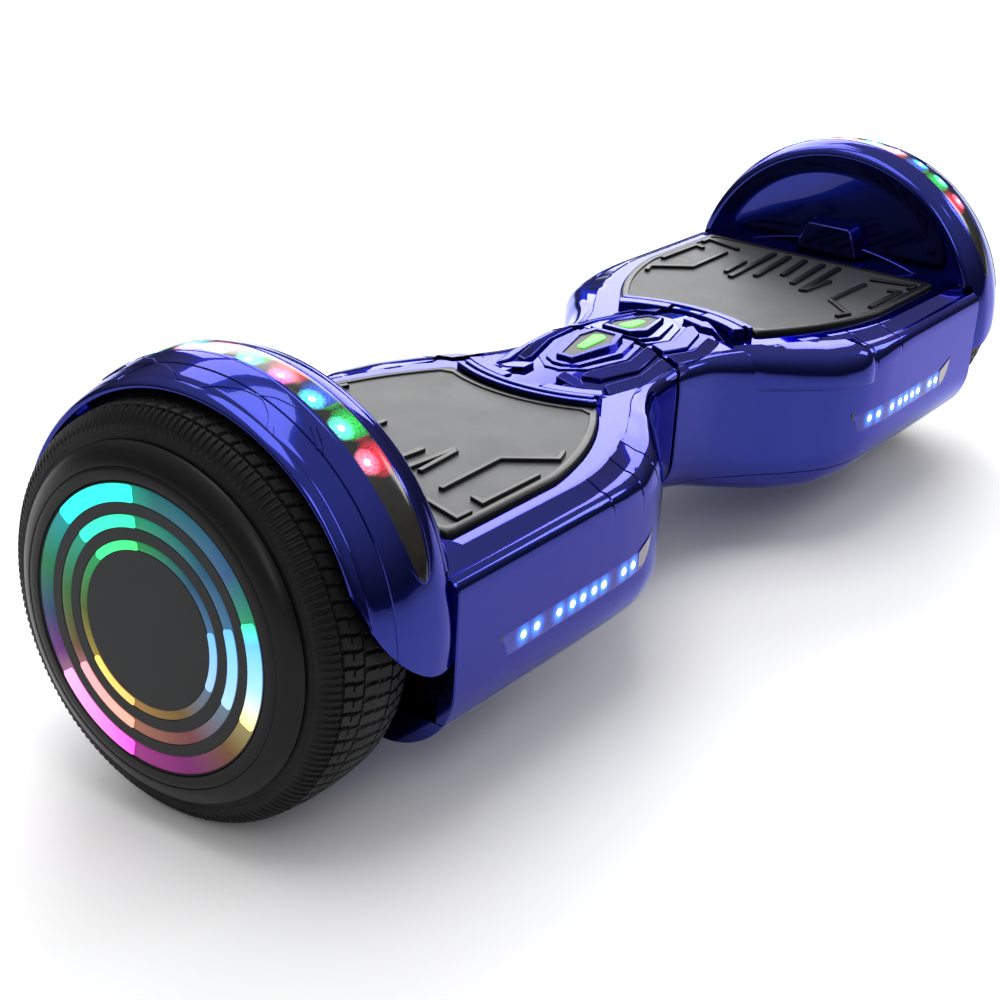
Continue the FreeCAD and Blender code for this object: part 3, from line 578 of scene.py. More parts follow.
FLARE = circle_through(PAD_CORNER, (106.0, 57.0), (149.0, PAD_HALF))


def pad_half_at(x):
    """Half the foot pad's width at x, on its outer edge."""
    if x >= 149.0:
        return PAD_HALF
    cx, cy, r = FLARE
    s = 1 if cy < 50 else -1
    return cy + s * math.sqrt(max(r * r - (x - cx) ** 2, 0.0))


def pad_outline(grow, n=36):
    """The foot pad's plan outline, anticlockwise, as points."""
    r = PAD_ARC_R - grow
    y_in = PAD_CORNER[1] + grow
    x_in = BOSS_X + math.sqrt(r * r - y_in**2)
    a = math.degrees(math.asin(y_in / r))
    inner = arc(BOSS_X, 0, r, a, -a, n)
    side = [(x, pad_half_at(x) + grow) for x in np.linspace(x_in + 1.5, 149.0, n)]
    out = PAD_X1 + grow
    c = 3.0
    low = [(x, -y) for x, y in side]
    corner_low = arc(out - c, -(PAD_HALF + grow) + c, c, -90, 0, 6)
    corner_high = arc(out - c, PAD_HALF + grow - c, c, 0, 90, 6)
    return inner + low + corner_low + corner_high + side[::-1]


GROOVES_X = (93.0, 112.0, 137.0)


def groove(x):
    """How deep the shoulder's cross grooves are at x."""
    return max((1.0 if abs(x - g) < 0.45 else 0.0) for g in GROOVES_X)


def shell_profile(x):
    """(y, z) points of the upper casing's outside at x, from the pad's edge down to the split."""
    half, shoulder = half_at(x), shoulder_at(x)
    blend = min(max((x - 60.0) / 50.0, 0.0), 1.0)
    inner = pad_half_at(x) + PAD_GAP if x > PAD_CORNER[0] else 26.0
    inner = 0.0 if x > PAD_X1 + PAD_GAP else inner
    drop = 3.6 * blend
    cut = groove(x) * 0.8
    edge = half - shoulder - 4.5 * blend
    edge = max(edge, inner + 1.5)
    ledge = max(half - shoulder * 0.75, edge + 1.0 + 3.0 * blend)
    top = DECK_Z
    points = [(inner, top - 6.5), (inner, top - 0.5), (inner + 0.5, top)]
    points += [(inner + (edge - inner) * t, top) for t in (0.35, 0.7)]
    points += [(edge - 0.3, top), (edge + 0.3, top - 0.3 - cut)]
    points += [(ledge - 0.4, top - drop + 0.2 - cut), (ledge + 0.2, top - drop - cut)]
    # rounded ledge and shoulder: a quarter of a superellipse from the ledge to the wall
    y0, z0 = ledge + 0.2, top - drop - cut
    depth = shoulder + 4.0
    for i in range(1, 15):
        t = i / 14 * math.pi / 2
        out, down = math.sin(t) ** 0.85, 1 - math.cos(t) ** 0.85
        points.append((y0 + (half - y0) * out, z0 - (depth - drop) * down))
    z_wall = z0 - (depth - drop)
    corner, low = corner_at(x), low_at(x)
    z_corner = low + corner
    for t in (0.25, 0.5, 0.75, 1.0):
        points.append((half, z_wall + (max(z_corner, SPLIT_Z + 1) - z_wall) * t))
    if z_corner > SPLIT_Z + 1:
        a_end = math.acos(min(1.0, (z_corner - SPLIT_Z) / corner))
        a_start = math.pi / 2
        for i in range(1, 9):
            a = a_start + (a_end - a_start) * i / 8
            points.append((half - corner + corner * math.sin(a), z_corner - corner * math.cos(a)))
    else:
        for i in range(1, 9):
            points.append((half, z_corner + (SPLIT_Z - z_corner) * i / 8))
    last_y = points[-1][0]
    points += [(last_y - 0.3, SPLIT_Z), (last_y - 2.8, SPLIT_Z), (last_y - 2.8, SPLIT_Z + 8)]
    return points


def base_profile(x):
    """(y, z) points of the lower casing's outside at x, from the split to the middle."""
    half, low, corner = half_at(x), low_at(x), corner_at(x)
    z_corner, top = low + corner, SPLIT_Z - 0.5
    points = []
    a_start = math.acos(min(1.0, max(-1.0, (z_corner - top) / corner)))
    y_start = half - corner + corner * math.sin(a_start)
    points += [(y_start - 2.8, top), (y_start - 0.4, top)]
    for i in range(15):
        a = a_start * (1 - i / 14)
        points.append((half - corner + corner * math.sin(a), z_corner - corner * math.cos(a)))
    flat = half - corner
    points += [(flat * t, low) for t in (0.75, 0.5, 0.25, 0.0)]
    return points


def x_stations():
    """Where the casing's cross sections stand, close together at its grooves and steps."""
    xs = list(np.linspace(SEAM_X, END_X, 86)) + [SEAM_X + 0.6, END_X - 0.6]
    for g in GROOVES_X:
        xs += [g - 0.8, g - 0.44, g + 0.44, g + 0.8]
    for step in (PAD_CORNER[0], PAD_X1 + PAD_GAP):
        xs += [step - 0.01, step + 0.01]
    return sorted(set(round(float(x), 3) for x in xs))


def inset_end(row):
    """A cross section drawn in by the width of the casing's edge at its two ends."""
    return [(max(y - END_INSET, 0.0), z - (END_INSET if z > 100 else 0)) for y, z in row]


def swept(profile, side):
    """Both long sides of a casing."""
    xs = x_stations()
    rows = [inset_end(profile(x)) if x in (xs[0], xs[-1]) else profile(x) for x in xs]
    verts, faces = [], []
    for s in (-1, 1):
        faces += grid_faces(len(rows), len(rows[0]), start=len(verts))
        verts += [(side * x, s * max(y, 0.0), z) for x, row in zip(xs, rows) for y, z in row]
    return verts, faces


def casing(word, side):
    """The upper and lower casing of one half, closed at both ends, and the floor under the foot pad."""
    body = word + "_half"
    for name, profile in (("deck", shell_profile), ("base", base_profile)):
        verts, faces = swept(profile, side)
        for x in (SEAM_X, END_X):
            row = profile(x)
            if profile is shell_profile:
                row = [(y, z) for y, z in row if not (y < 27 and z < DECK_Z - 0.01)]
            else:
                row = row[1:]
            outline = inset_end(row)
            ring = [(side * x, -y, z) for y, z in outline] + [(side * x, y, z) for y, z in reversed(outline)]
            faces.append(tuple(range(len(verts), len(verts) + len(ring))))
            verts += ring
        chrome("%s_%s" % (word, name), verts, faces, body, replaces=["%s_%s_shell" % (word, name)], sharp=28)
    floor = pad_outline(PAD_GAP + 0.5)
    prism(word + "_pad_floor", floor, 99.6, 102.4, DARK_PLASTIC, body, side, 0.3, slot="black_plastic")


def seam_seal():
    """The dark seal in the slit between the halves, open in the middle for the swivel."""
    half_y, half_z, mid_z, power = 34.4, 29.0, 76.5, 3.4
    verts, n = [], 96
    for x, grow in ((-1.4, 0.0), (0.9, 0.0), (1.2, -0.6)):
        for c, s in circle(1.0, n):
            r = ((abs(c) / half_y) ** power + (abs(s) / half_z) ** power) ** (-1 / power) + grow
            verts.append((x, r * c, mid_z + r * s))
    for x in (1.2, -1.4):
        verts += [(x, y, z) for y, z in circle(SEAL_HOLE_R, n, 0.0, AXLE_Z)]
    faces = grid_faces(5, n, wrap_rows=True, wrap_columns=True)
    piece("seam_seal", verts, faces, DARK_PLASTIC, "left_half", slot="black_plastic")


def charge_port():
    """The round opening for the charge socket in the right half's back wall, and the flap's hinge ears."""
    me = bpy.data.objects["right_deck"].data
    bm = bmesh.new()
    bm.from_mesh(me)

    def near(p, size):
        return p.y > 80.0 * K and abs(p.x - PORT_X * K) < size * K and abs(p.z - PORT_Z * K) < size * K

    doomed = [f for f in bm.faces if near(f.calc_center_median(), 9.3) and abs(f.normal.y) > 0.9]
    bmesh.ops.delete(bm, geom=doomed, context="FACES")
    rim = [e for e in bm.edges if e.is_boundary and all(near(v.co, 13.95) for v in e.verts)]
    y = sum(v.co.y for e in rim for v in e.verts) / (2 * len(rim))
    n = 48
    spots = circle(PORT_R * K, n, PORT_X * K, PORT_Z * K)
    front = [bm.verts.new((x, y, z)) for x, z in spots]
    back = [bm.verts.new((x, y - 4.0 * K, z)) for x, z in spots]
    hole = [bm.edges.new((front[k], front[(k + 1) % n])) for k in range(n)]
    filled = bmesh.ops.triangle_fill(bm, edges=rim + hole, use_beauty=True)
    for f in filled["geom"]:
        if isinstance(f, bmesh.types.BMFace):
            f.normal_update()
            if f.normal.y < 0:
                f.normal_flip()
    for k in range(n):
        j = (k + 1) % n
        bm.faces.new((front[k], back[k], back[j], front[j]))
    bm.to_mesh(me)
    bm.free()
    ear_y, ear_z = (WALL_Y - 2.8, WALL_Y + 2.0), (PORT_Z + FLAP_HALF - 1.6, PORT_Z + FLAP_HALF + 1.6)
    for s, tag in ((-1, "inner"), (1, "outer")):
        ear_x = [PORT_X + s * (FLAP_HALF + a) for a in (1.7, 3.2)]
        verts = [(x, y, z) for x in ear_x for y in ear_y for z in ear_z]
        faces = [(0, 1, 3, 2), (4, 6, 7, 5), (0, 4, 5, 1), (2, 3, 7, 6), (0, 2, 6, 4), (1, 5, 7, 3)]
        chrome("right_flap_ear_" + tag, verts, faces, "right_half", 0.4)


def base_z(x, y):
    """Height of the casing's underside at x and y."""
    low, corner = low_at(x), corner_at(x)
    over = abs(y) - (half_at(x) - corner)
    return low if over <= 0 else low + corner - math.sqrt(max(corner**2 - over**2, 0.0))


def under_ring(name, spot, profile, material, body, side, slot):
    """A (radius, height) profile turned round a spot of the underside, following its skin."""
    verts, n = [], 32
    for r, dz in profile:
        verts += [(side * x, y, base_z(x, y) + dz) for x, y in circle(r, n, *spot)]
    piece(name, verts, grid_faces(len(profile), n, wrap_columns=True), material, body, slot=slot)


def underside(word, side):
    """The collared screws that hold the lower casing."""
    collar = [(3.9, 0.5), (3.9, -0.3), (4.4, -0.6), (5.6, -0.6), (6.2, -0.2), (6.4, 0.5)]
    floor = [(0.01, -0.05), (4.2, -0.05), (4.2, 0.5)]
    head = [(0.01, -0.1), (1.1, -0.1), (1.25, -0.45), (2.5, -0.42), (3.2, -0.2), (3.3, 0.4)]
    parts = [
        ("collar", collar, CHROME, "chrome_blue"),
        ("floor", floor, DARK_PLASTIC, "black_plastic"),
        ("head", head, BLACK_STEEL, "black_steel"),
    ]
    for i, spot in enumerate(SCREW_SPOTS):
        for tag, profile, material, slot in parts:
            name = "%s_under_screw_%d_%s" % (word, i + 1, tag)
            under_ring(name, spot, profile, material, word + "_half", side, slot)


# ---- raised centre -----------------------------------------------------------------------------


def crown(x, y):
    """Height of the raised centre's skin at x and y. It falls away from the seam and to both sides."""
    return CROWN_TOP - CROWN_R + math.sqrt(CROWN_R**2 - y * y) - CROWN_FALL * x


def over_crown(lift):
    """The height at x and y that lies lift over the raised centre's skin."""
    return lambda x, y: crown(x, y) + lift


def crowned_plate(name, outline, lift, thick, edge, body, side):
    """A plate that follows the crown, standing lift over it."""
    levels = over_crown(lift - thick), over_crown(lift)
    prism(name, outline, *levels, CHROME, body, side, edge, slot="chrome_blue")


def ring_plate(name, r0, r1, a0, a1, lift, least_z, body, side):
    """An arc of plate round the raised centre; angles in degrees from the pad's direction."""
    outline = arc(BOSS_X, 0, r1, a0, a1, 28) + arc(BOSS_X, 0, r0, a1, a0, 28)

    def top(x, y):
        return max(crown(x, min(abs(y), 60.0)) + lift, least_z)

    verts = two_levels(outline, side, lambda x, y: top(x, y) - 5.0, top)
    chrome(name, verts, band_faces(len(outline)), body, 0.5)


# Arcs of armour along the pad's inner edge: radii, degrees, lift over the crown, least height
RINGS = {
    "ring_1": (69.6, 72.4, -31, 31, 0.8, 113.0),
    "ring_2": (66.2, 69.1, -30, 30, 1.4, 113.8),
    "ring_3_front": (59.5, 65.6, -33, -9, 1.4, 113.6),
    "ring_3_back": (59.5, 65.6, 9, 33, 1.4, 113.6),
    "ring_3_mid": (60.8, 65.6, -7.5, 7.5, 0.9, 113.0),
    "ring_4_front": (53.5, 58.9, -36, -15, 1.0, 0.0),
    "ring_4_back": (53.5, 58.9, 15, 36, 1.0, 0.0),
}
# The shield round the window: the back half of its outline, then lift, thickness and rounding
SHIELDS = {
    "shield": ([(2.4, 17.5), (19.0, 20.0), (41.0, 13.5), (50.5, 4.0)], 0.3, 4.0, 0.4),
    "shelf": ([(2.4, 13.6), (16.5, 16.0), (41.5, 9.2), (46.0, 2.6)], 0.9, 4.0, 0.3),
}
# Its flanks and wedges, as they stand at the back; the front ones mirror them
FLANKS = {
    "flank": (
        [(2.6, 20.0), (2.6, 26.5), (22.0, 28.5), (44.0, 22.5), (49.5, 15.5), (44.0, 15.0), (20.0, 21.8)],
        1.3, 6.0, 0.5,
    ),
    "outer": (
        [(2.6, 28.6), (2.6, 35.2), (33.0, 36.2), (50.0, 30.5), (46.5, 25.6), (24.0, 30.4)],
        0.8, 6.0, 0.5,
    ),
    "wedge": ([(52.5, 8.0), (53.6, 18.0), (57.6, 23.0), (60.6, 18.0), (59.8, 8.5)], 1.6, 5.0, 0.5),
}


def centre(word, side):
    """The raised centre: its crowned skin with a skirt, and the armour plates on it."""
    body = word + "_half"
    xs, columns = np.linspace(SEAM_X, BOSS_X + 71.0, 40), 25
    reaches = [min(37.0, math.sqrt(max(71.5**2 - (x - BOSS_X) ** 2, 0.0))) for x in xs]
    verts = []
    for x, reach in zip(xs, reaches):
        for t in np.linspace(-1, 1, columns):
            y = reach * t
            verts.append((side * x, y, crown(x, y) - (1.8 if abs(t) == 1 else 0.6)))
    start = len(verts)
    skirt = [(side * x, -reach, 105.5) for x, reach in zip(xs, reaches)]
    skirt += [(side * x, reach, 105.5) for x, reach in reversed(list(zip(xs, reaches)))]
    edge = [i * columns for i in range(len(xs))] + [(i + 1) * columns - 1 for i in reversed(range(len(xs)))]
    n = len(skirt)
    faces = grid_faces(len(xs), columns)
    for i in range(n):
        j = (i + 1) % n
        if i != len(xs) - 1:
            faces.append((edge[i], edge[j], start + j, start + i))
    chrome(word + "_centre", verts + skirt, faces, body)
    for tag, ring in RINGS.items():
        ring_plate("%s_%s" % (word, tag), *ring, body, side)
    for tag, (back, *rest) in SHIELDS.items():
        outline = [(x, -y) for x, y in back] + back[::-1]
        crowned_plate("%s_%s" % (word, tag), outline, *rest, body, side)
    for s, end in ((-1, "front"), (1, "back")):
        for tag, (back, *rest) in FLANKS.items():
            outline = [(x, s * y) for x, y in back]
            crowned_plate("%s_%s_%s" % (word, tag, end), outline, *rest, body, side)


def shoulder_wall(x, z):
    """The casing's y on its shoulder at x and z."""
    profile = [(y, zz) for y, zz in shell_profile(x) if zz < DECK_Z - 0.2]
    profile = sorted(profile[2:], key=lambda p: -p[1])
    return float(np.interp(-z, [-p[1] for p in profile], [p[0] for p in profile]))


def shoulder_caps(word, side):
    """The swollen cap on one shoulder of each half, where the casing widens from its waist."""
    x0, x1, z0, z1 = 46.0, 110.0, 86.5, 107.0
    s, tag = (-side, "front" if side > 0 else "back")
    verts, columns, rows = [], 33, 17
    for i in range(columns):
        u = i / (columns - 1)
        x = x0 + (x1 - x0) * u
        for j in range(rows):
            v = j / (rows - 1)
            z = z0 + (z1 - z0) * v + 3.5 * (1 - u)
            edge = min(1.0, 6.0 * min(u, 1 - u), 5.0 * v, 5.0 * (1 - v))
            lift = 2.4 * math.sin(edge * math.pi / 2) ** 0.6 - 0.4
            y = shoulder_wall(x, z) + 0.8 * lift
            verts.append((side * (x - 0.35 * lift), s * y, z + 0.45 * v * lift))
    chrome("%s_cap_%s" % (word, tag), verts, grid_faces(columns, rows), word + "_half", sharp=60)


def window_outline(grow):
    """The window's outline with its long point away from the seam, moved outward by grow."""
    x0, x1, half = 4.6, 39.0, 9.0
    back = [(x0 - grow, half * 0.66 + grow), (x0 + 10, half + grow), (x1 + grow, 3.4 + grow * 0.5)]
    return [(x, -y) for x, y in back] + back[::-1]


def window(word, side):
    """The status window in its bevelled frame, with the green light under it."""
    body = word + "_half"
    outer, inner = window_outline(1.8), window_outline(-0.9)
    verts = two_levels(outer, side, over_crown(-2.0), over_crown(2.4))
    verts += two_levels(inner, side, over_crown(2.4), over_crown(-2.0))
    chrome(word + "_bezel", verts, grid_faces(4, len(outer), wrap_rows=True, wrap_columns=True), body, 0.5)
    prism(
        word + "_window", window_outline(-0.8), 113.0, over_crown(1.7), WINDOW, body, side, 0.4,
        replaces=[word + "_status_window"], slot="status_window"
    )
    light = arc(12.5, 0, 3.5, 90, 270, 14) + arc(25.5, 0, 2.3, -90, 90, 14)
    prism(word + "_window_glow", light, 113.0, over_crown(1.9), GREEN, body, side, 0.2, slot="status_window")


# ---- foot pad ----------------------------------------------------------------------------------

RIBS = [
    [(188.7, 42.3), (148.5, 41.2), (133.0, 58.8), (124.8, 55.7)],
    [(186.6, 55.7), (188.7, 61.9), (151.6, 61.9)],
    [(199.0, 40.2), (206.2, 62.9), (197.9, 62.9)],
    [(180.4, 25.8), (153.6, 23.7)],
]
SHORT_RIBS = [(147.4, 17.5), (158.8, 8.5), (171.0, -1.5), (160.8, -12.5), (152.5, -22.0)]


def rib(name, path, body, side, width=2.6):
    """A raised rib along a plan path, mitred at its corners."""
    pts = [Vector(p) for p in path]
    steps = [(b - a).normalized() for a, b in zip(pts, pts[1:])]
    left, right = [], []
    for p, before, after in zip(pts, steps[:1] + steps, steps + steps[-1:]):
        t = (before + after).normalized()
        nrm = Vector((-t.y, t.x))
        scale = 1.0 / max(0.35, nrm.dot(Vector((-before.y, before.x))))
        left.append(p + nrm * scale * width / 2)
        right.append(p - nrm * scale * width / 2)
    outline = [(v.x, v.y) for v in left + right[::-1]]
    verts = two_levels(outline, side, 109.5, 111.6)
    return bevel(piece(name, verts, band_faces(len(outline)), RIB_RUBBER, body, slot="mat_rubber"), 0.45)


def pad(word, side):
    """The foot pad: its rolled rubber edge, its grained mat and the raised ribs."""
    body = word + "_pad"
    outline, face = pad_outline(0.0), pad_outline(-3.8)
    n = len(outline)
    rings = [(0.0, 105.0), (0.0, 109.6), (-0.3, 110.3), (-0.9, 110.7), (-3.4, 110.8), (-3.8, 110.7)]
    rings += [(-4.2, 109.9)]
    verts = [(side * x, y, z) for grow, z in rings for x, y in pad_outline(grow)]
    faces = grid_faces(len(rings), n, wrap_columns=True) + [tuple(range(n))]
    piece(word + "_mat_edge", verts, faces, RIB_RUBBER, body, slot="mat_rubber", sharp=40)
    verts, replaced = two_levels(face, side, 109.0, 110.0), [word + "_foot_pad"]
    piece(word + "_mat", verts, block_faces(n), MAT_RUBBER, body, replaced, slot="mat_rubber", sharp=40)
    count = 0
    for path in RIBS:
        for s in (-1, 1):
            count += 1
            rib("%s_rib_%02d" % (word, count), [(x, s * y) for x, y in path], body, side)
    for x, y in SHORT_RIBS:
        count += 1
        rib("%s_rib_%02d" % (word, count), [(x, y), (x + 4.0, y), (207.0, y + 4.0)], body, side, 3.2)


# ---- fender ------------------------------------------------------------------------------------

FLOOR_Z = DECK_Z - 0.4
FENDER_X1 = FENDER_ARCS[-1][0]
SLOT_WIDTH = 0.7
# The fender's inlaid lines on the front of its arch, as (x, degrees) points; the back mirrors them
FENDER_LINES = [
    [(265.0, 60.0), (267.5, 56.0), (269.6, 54.0)],
    [(266.4, 61.0), (268.9, 57.2), (270.0, 55.6)],
    [(278.6, 66.0), (274.0, 68.5), (270.5, 73.0), (271.5, 78.0), (276.0, 84.0), (278.6, 86.5)],
    [(270.6, 75.0), (267.0, 71.5), (264.5, 66.0)],
    [(278.6, 63.5), (276.0, 65.5)],
]


def fender_point(x, turn, inset=0.0):
    """A point on the fender at x. turn runs from 0 at the front end to 1 at the back end."""
    at = min(x, FENDER_X1)
    r = fender_r_at(at) - inset
    a0 = math.asin(max(-1.0, min(1.0, (fender_end_at(at) - FENDER_Z) / r)))
    a = a0 + (math.pi - 2 * a0) * turn
    return x, -r * math.cos(a), FENDER_Z + r * math.sin(a)


def fender_skin(x, deg, lift=0.0):
    """A point over the fender's outside at x, with its angle from the front taken about the axle."""
    a = math.radians(deg)
    y_dir, z_dir = -math.cos(a), math.sin(a)
    dz = AXLE_Z - FENDER_Z
    r = fender_r_at(x) + lift
    reach = -dz * z_dir + math.sqrt((dz * z_dir) ** 2 - dz * dz + r * r)
    return x, reach * y_dir, AXLE_Z + reach * z_dir


def fender_band(word, side):
    """The arched band, with a raised lip, an engraved line and a turned-in outer edge."""
    xs = [238.6, 239.6, 241.0, 242.6, 244.6, 247.0, 250.0, 253.0, 256.0, 259.0, 262.0, 265.0, 268.0]
    xs += [269.5, 269.8, 270.2, 270.5, 273.0, 276.0, 278.4, 278.8, 279.2, 281.0, 282.4]
    dips = {269.8: 0.55, 270.2: 0.55, 278.8: 0.5, 279.2: -0.25, 281.0: -0.3, 282.4: 0.1}
    section = [(x, dips.get(x, 0.0)) for x in xs]
    section += [(282.9, 0.6), (283.0, 1.4), (282.7, 2.1)]
    section += [(x, 2.4) for x in (282.0, 276.0, 262.0, 250.0, 241.0, 238.7)]
    turns = 201
    verts = []
    for x, inset in section:
        for i in range(turns):
            px, y, z = fender_point(x, i / (turns - 1), inset)
            verts.append((side * px, y, z))
    faces = grid_faces(len(section), turns)
    n = len(section)
    for column in (0, turns - 1):
        for i in range(n // 2):
            j = n - 1 - i
            if j - 1 > i:
                faces.append(tuple(k * turns + column for k in (i, i + 1, j - 1, j)))
    chrome(word + "_fender_band", verts, faces, word + "_half", replaces=[word + "_fender"], sharp=40)


def fender_slot(name, path, side, body):
    """A thin inlaid line on the fender through (x, degrees) points."""
    verts = []
    n = 14
    for i in range(n):
        t = i / (n - 1) * (len(path) - 1)
        k = min(int(t), len(path) - 2)
        (xa, da), (xb, db) = path[k : k + 2]
        x, deg = xa + (xb - xa) * (t - k), da + (db - da) * (t - k)
        dx, dd = xb - xa, (db - da) * MM_PER_DEG
        half = SLOT_WIDTH / 2 / math.hypot(dx, dd)
        for s, lift in ((-1, -0.3), (-0.5, 0.35), (0.5, 0.35), (1, -0.3)):
            px, y, z = fender_skin(x - dd * half * s, deg + dx * half / MM_PER_DEG * s, lift)
            verts.append((side * px, y, z))
    chrome(name, verts, grid_faces(n, 4), body, sharp=25)


def fender_wall(word, side):
    """The dished wall that faces the foot, with its rolled rim, low plinth and raised box."""
    body = word + "_half"
    wall = [(240.5, 87.8), (238.2, 87.3), (236.3, 86.0), (235.1, 84.2), (234.9, 82.4), (235.6, 81.0)]
    wall += [(236.6, 79.6)] + [(236.9, r) for r in (72.0, 60.0, 48.0, 36.0, 27.5)]
    verts, steps = [], 121
    for x, r in wall:
        a0 = math.asin(min(1.0, (FLOOR_Z - FENDER_Z) / r))
        for i in range(steps):
            a = a0 + (math.pi - 2 * a0) * i / (steps - 1)
            verts.append((side * x, -r * math.cos(a), FENDER_Z + r * math.sin(a)))
    chrome(word + "_fender_wall", verts, grid_faces(len(wall), steps), body, sharp=50)

    def on_wall(name, outline, x_face, draft, edge):
        n = len(outline)
        verts = [(side * 237.2, y, z) for y, z in outline]
        cy = sum(y for y, z in outline) / n
        cz = min(z for y, z in outline)
        verts += [(side * x_face, cy + (y - cy) * draft, cz + (z - cz) * draft) for y, z in outline]
        chrome(name, verts, block_faces(n), body, edge)

    arch = [(y, FLOOR_Z + 0.8 + 8.5 * (1 - (y / 52.0) ** 2)) for y in np.linspace(-51, 51, 27)]
    on_wall(word + "_wall_plinth", [(-52.0, FLOOR_Z)] + arch + [(52.0, FLOOR_Z)], 234.4, 0.97, 0.5)
    half_box = [(12.5, 128.6), (14.5, 127.0), (18.0, 118.0), (20.0, FLOOR_Z)]
    box = [(-y, z) for y, z in reversed(half_box)] + half_box
    on_wall(word + "_wall_box", box, 226.0, 0.94, 0.8)


def light_dome(spot, out, along, across, radius, height, side):
    """Points and faces of a small round light standing on a surface."""
    verts, rows, columns = [], 5, 14
    for k in range(rows):
        p = k / (rows - 1) * math.pi / 2
        for c, s in circle(1.0, columns):
            r = radius * math.cos(p) + 0.02
            v = spot + out * (height * math.sin(p)) + (along * c + across * s) * r
            verts.append((side * v.x, v.y, v.z))
    return verts, grid_faces(rows, columns, wrap_columns=True)


def strip_edge(step, steps):
    """Degrees from the front, and the strip's half width there, at one step along the strip."""
    deg = STRIP_END + (180 - 2 * STRIP_END) * step / (steps - 1)
    return deg, strip_width_at(min(deg, 180 - deg)) / 2


def strip(word, side):
    """The smoked lens over the strip of lights, its bright rim, and the lights' cores."""
    body = word + "_half"
    rows, steps = 9, 161
    edges = [strip_edge(i, steps) for i in range(steps)]
    verts = []
    for k in range(rows):
        v = 2 * k / (rows - 1) - 1
        for deg, half in edges:
            px, y, z = fender_skin(STRIP_MID_X + v * half, deg, 0.25 * (1 - v**4) - 0.12)
            verts.append((side * px, y, z))
    piece(
        word + "_strip_lens", verts, grid_faces(rows, steps), STRIP, body,
        replaces=[word + "_fender_lens"], slot="smoked_lens", sharp=60
    )
    loop = [(STRIP_MID_X + half, deg) for deg, half in edges]
    loop += [(STRIP_MID_X - half, deg) for deg, half in reversed(edges)]
    verts, n = [], len(loop)
    for i, (x, deg) in enumerate(loop):
        (xa, da), (xb, db) = loop[i - 1], loop[(i + 1) % n]
        tx, td = xb - xa, (db - da) * MM_PER_DEG
        length = math.hypot(tx, td) or 1.0
        ox, od = td / length, -tx / length / MM_PER_DEG
        for off, lift in ((-0.15, -0.25), (0.05, 0.1), (0.5, 0.12), (0.9, -0.25)):
            px, y, z = fender_skin(x + ox * off, deg + od * off, lift)
            verts.append((side * px, y, z))
    chrome(word + "_strip_rim", verts, grid_faces(n, 4, wrap_rows=True), body, sharp=50)
    for i, (colour, _) in enumerate(STRIP_LIGHTS):
        deg = LED_FROM + LED_STEP * i
        a = math.radians(deg)
        name = "strip_light_%d" % (i + 1)
        white = tuple(0.6 + 0.4 * c for c in colour)
        mat = bpy.data.materials.get(name) or glow(name, white, 9.0)
        out = Vector((0, -math.cos(a), math.sin(a)))
        along = Vector((0, math.sin(a), math.cos(a)))
        spot = Vector(fender_skin(LED_X, deg, -0.1))
        verts, faces = light_dome(spot, out, along, Vector((1, 0, 0)), 1.35, 0.5, side)
        piece("%s_strip_light_%02d" % (word, i + 1), verts, faces, mat, body, slot="led_strip")


def fender(word, side):
    """The fender: its band and wall, the light strip, and the inlaid lines on both ends of the arch."""
    fender_band(word, side)
    fender_wall(word, side)
    strip(word, side)
    for k, mirror in enumerate((lambda d: d, lambda d: 180 - d)):
        for j, line in enumerate(FENDER_LINES):
            path = [(x, mirror(d)) for x, d in line]
            fender_slot("%s_fender_line_%d_%d" % (word, k + 1, j + 1), path, side, word + "_half")


# ---- headlights --------------------------------------------------------------------------------

def lens_range(x, points):
    """Lowest and highest z of the outline at x."""
    zs = []
    for (xa, za), (xb, zb) in zip(points, points[1:] + points[:1]):
        if (xa - x) * (xb - x) <= 0 and xa != xb:
            zs.append(za + (zb - za) * (x - xa) / (xb - xa))
    return (min(zs), max(zs)) if zs else (LIGHT_Z, LIGHT_Z)


def wall_at(x, z, grow=0.0):
    """The casing's outside y at x and z on the wall below its shoulder."""
    corner, low, half = corner_at(x), low_at(x), half_at(x)
    z_corner = low + corner
    y = half
    if z < z_corner:
        y = half - corner + math.sqrt(max(0.0, corner**2 - (z_corner - z) ** 2))
    return y + grow


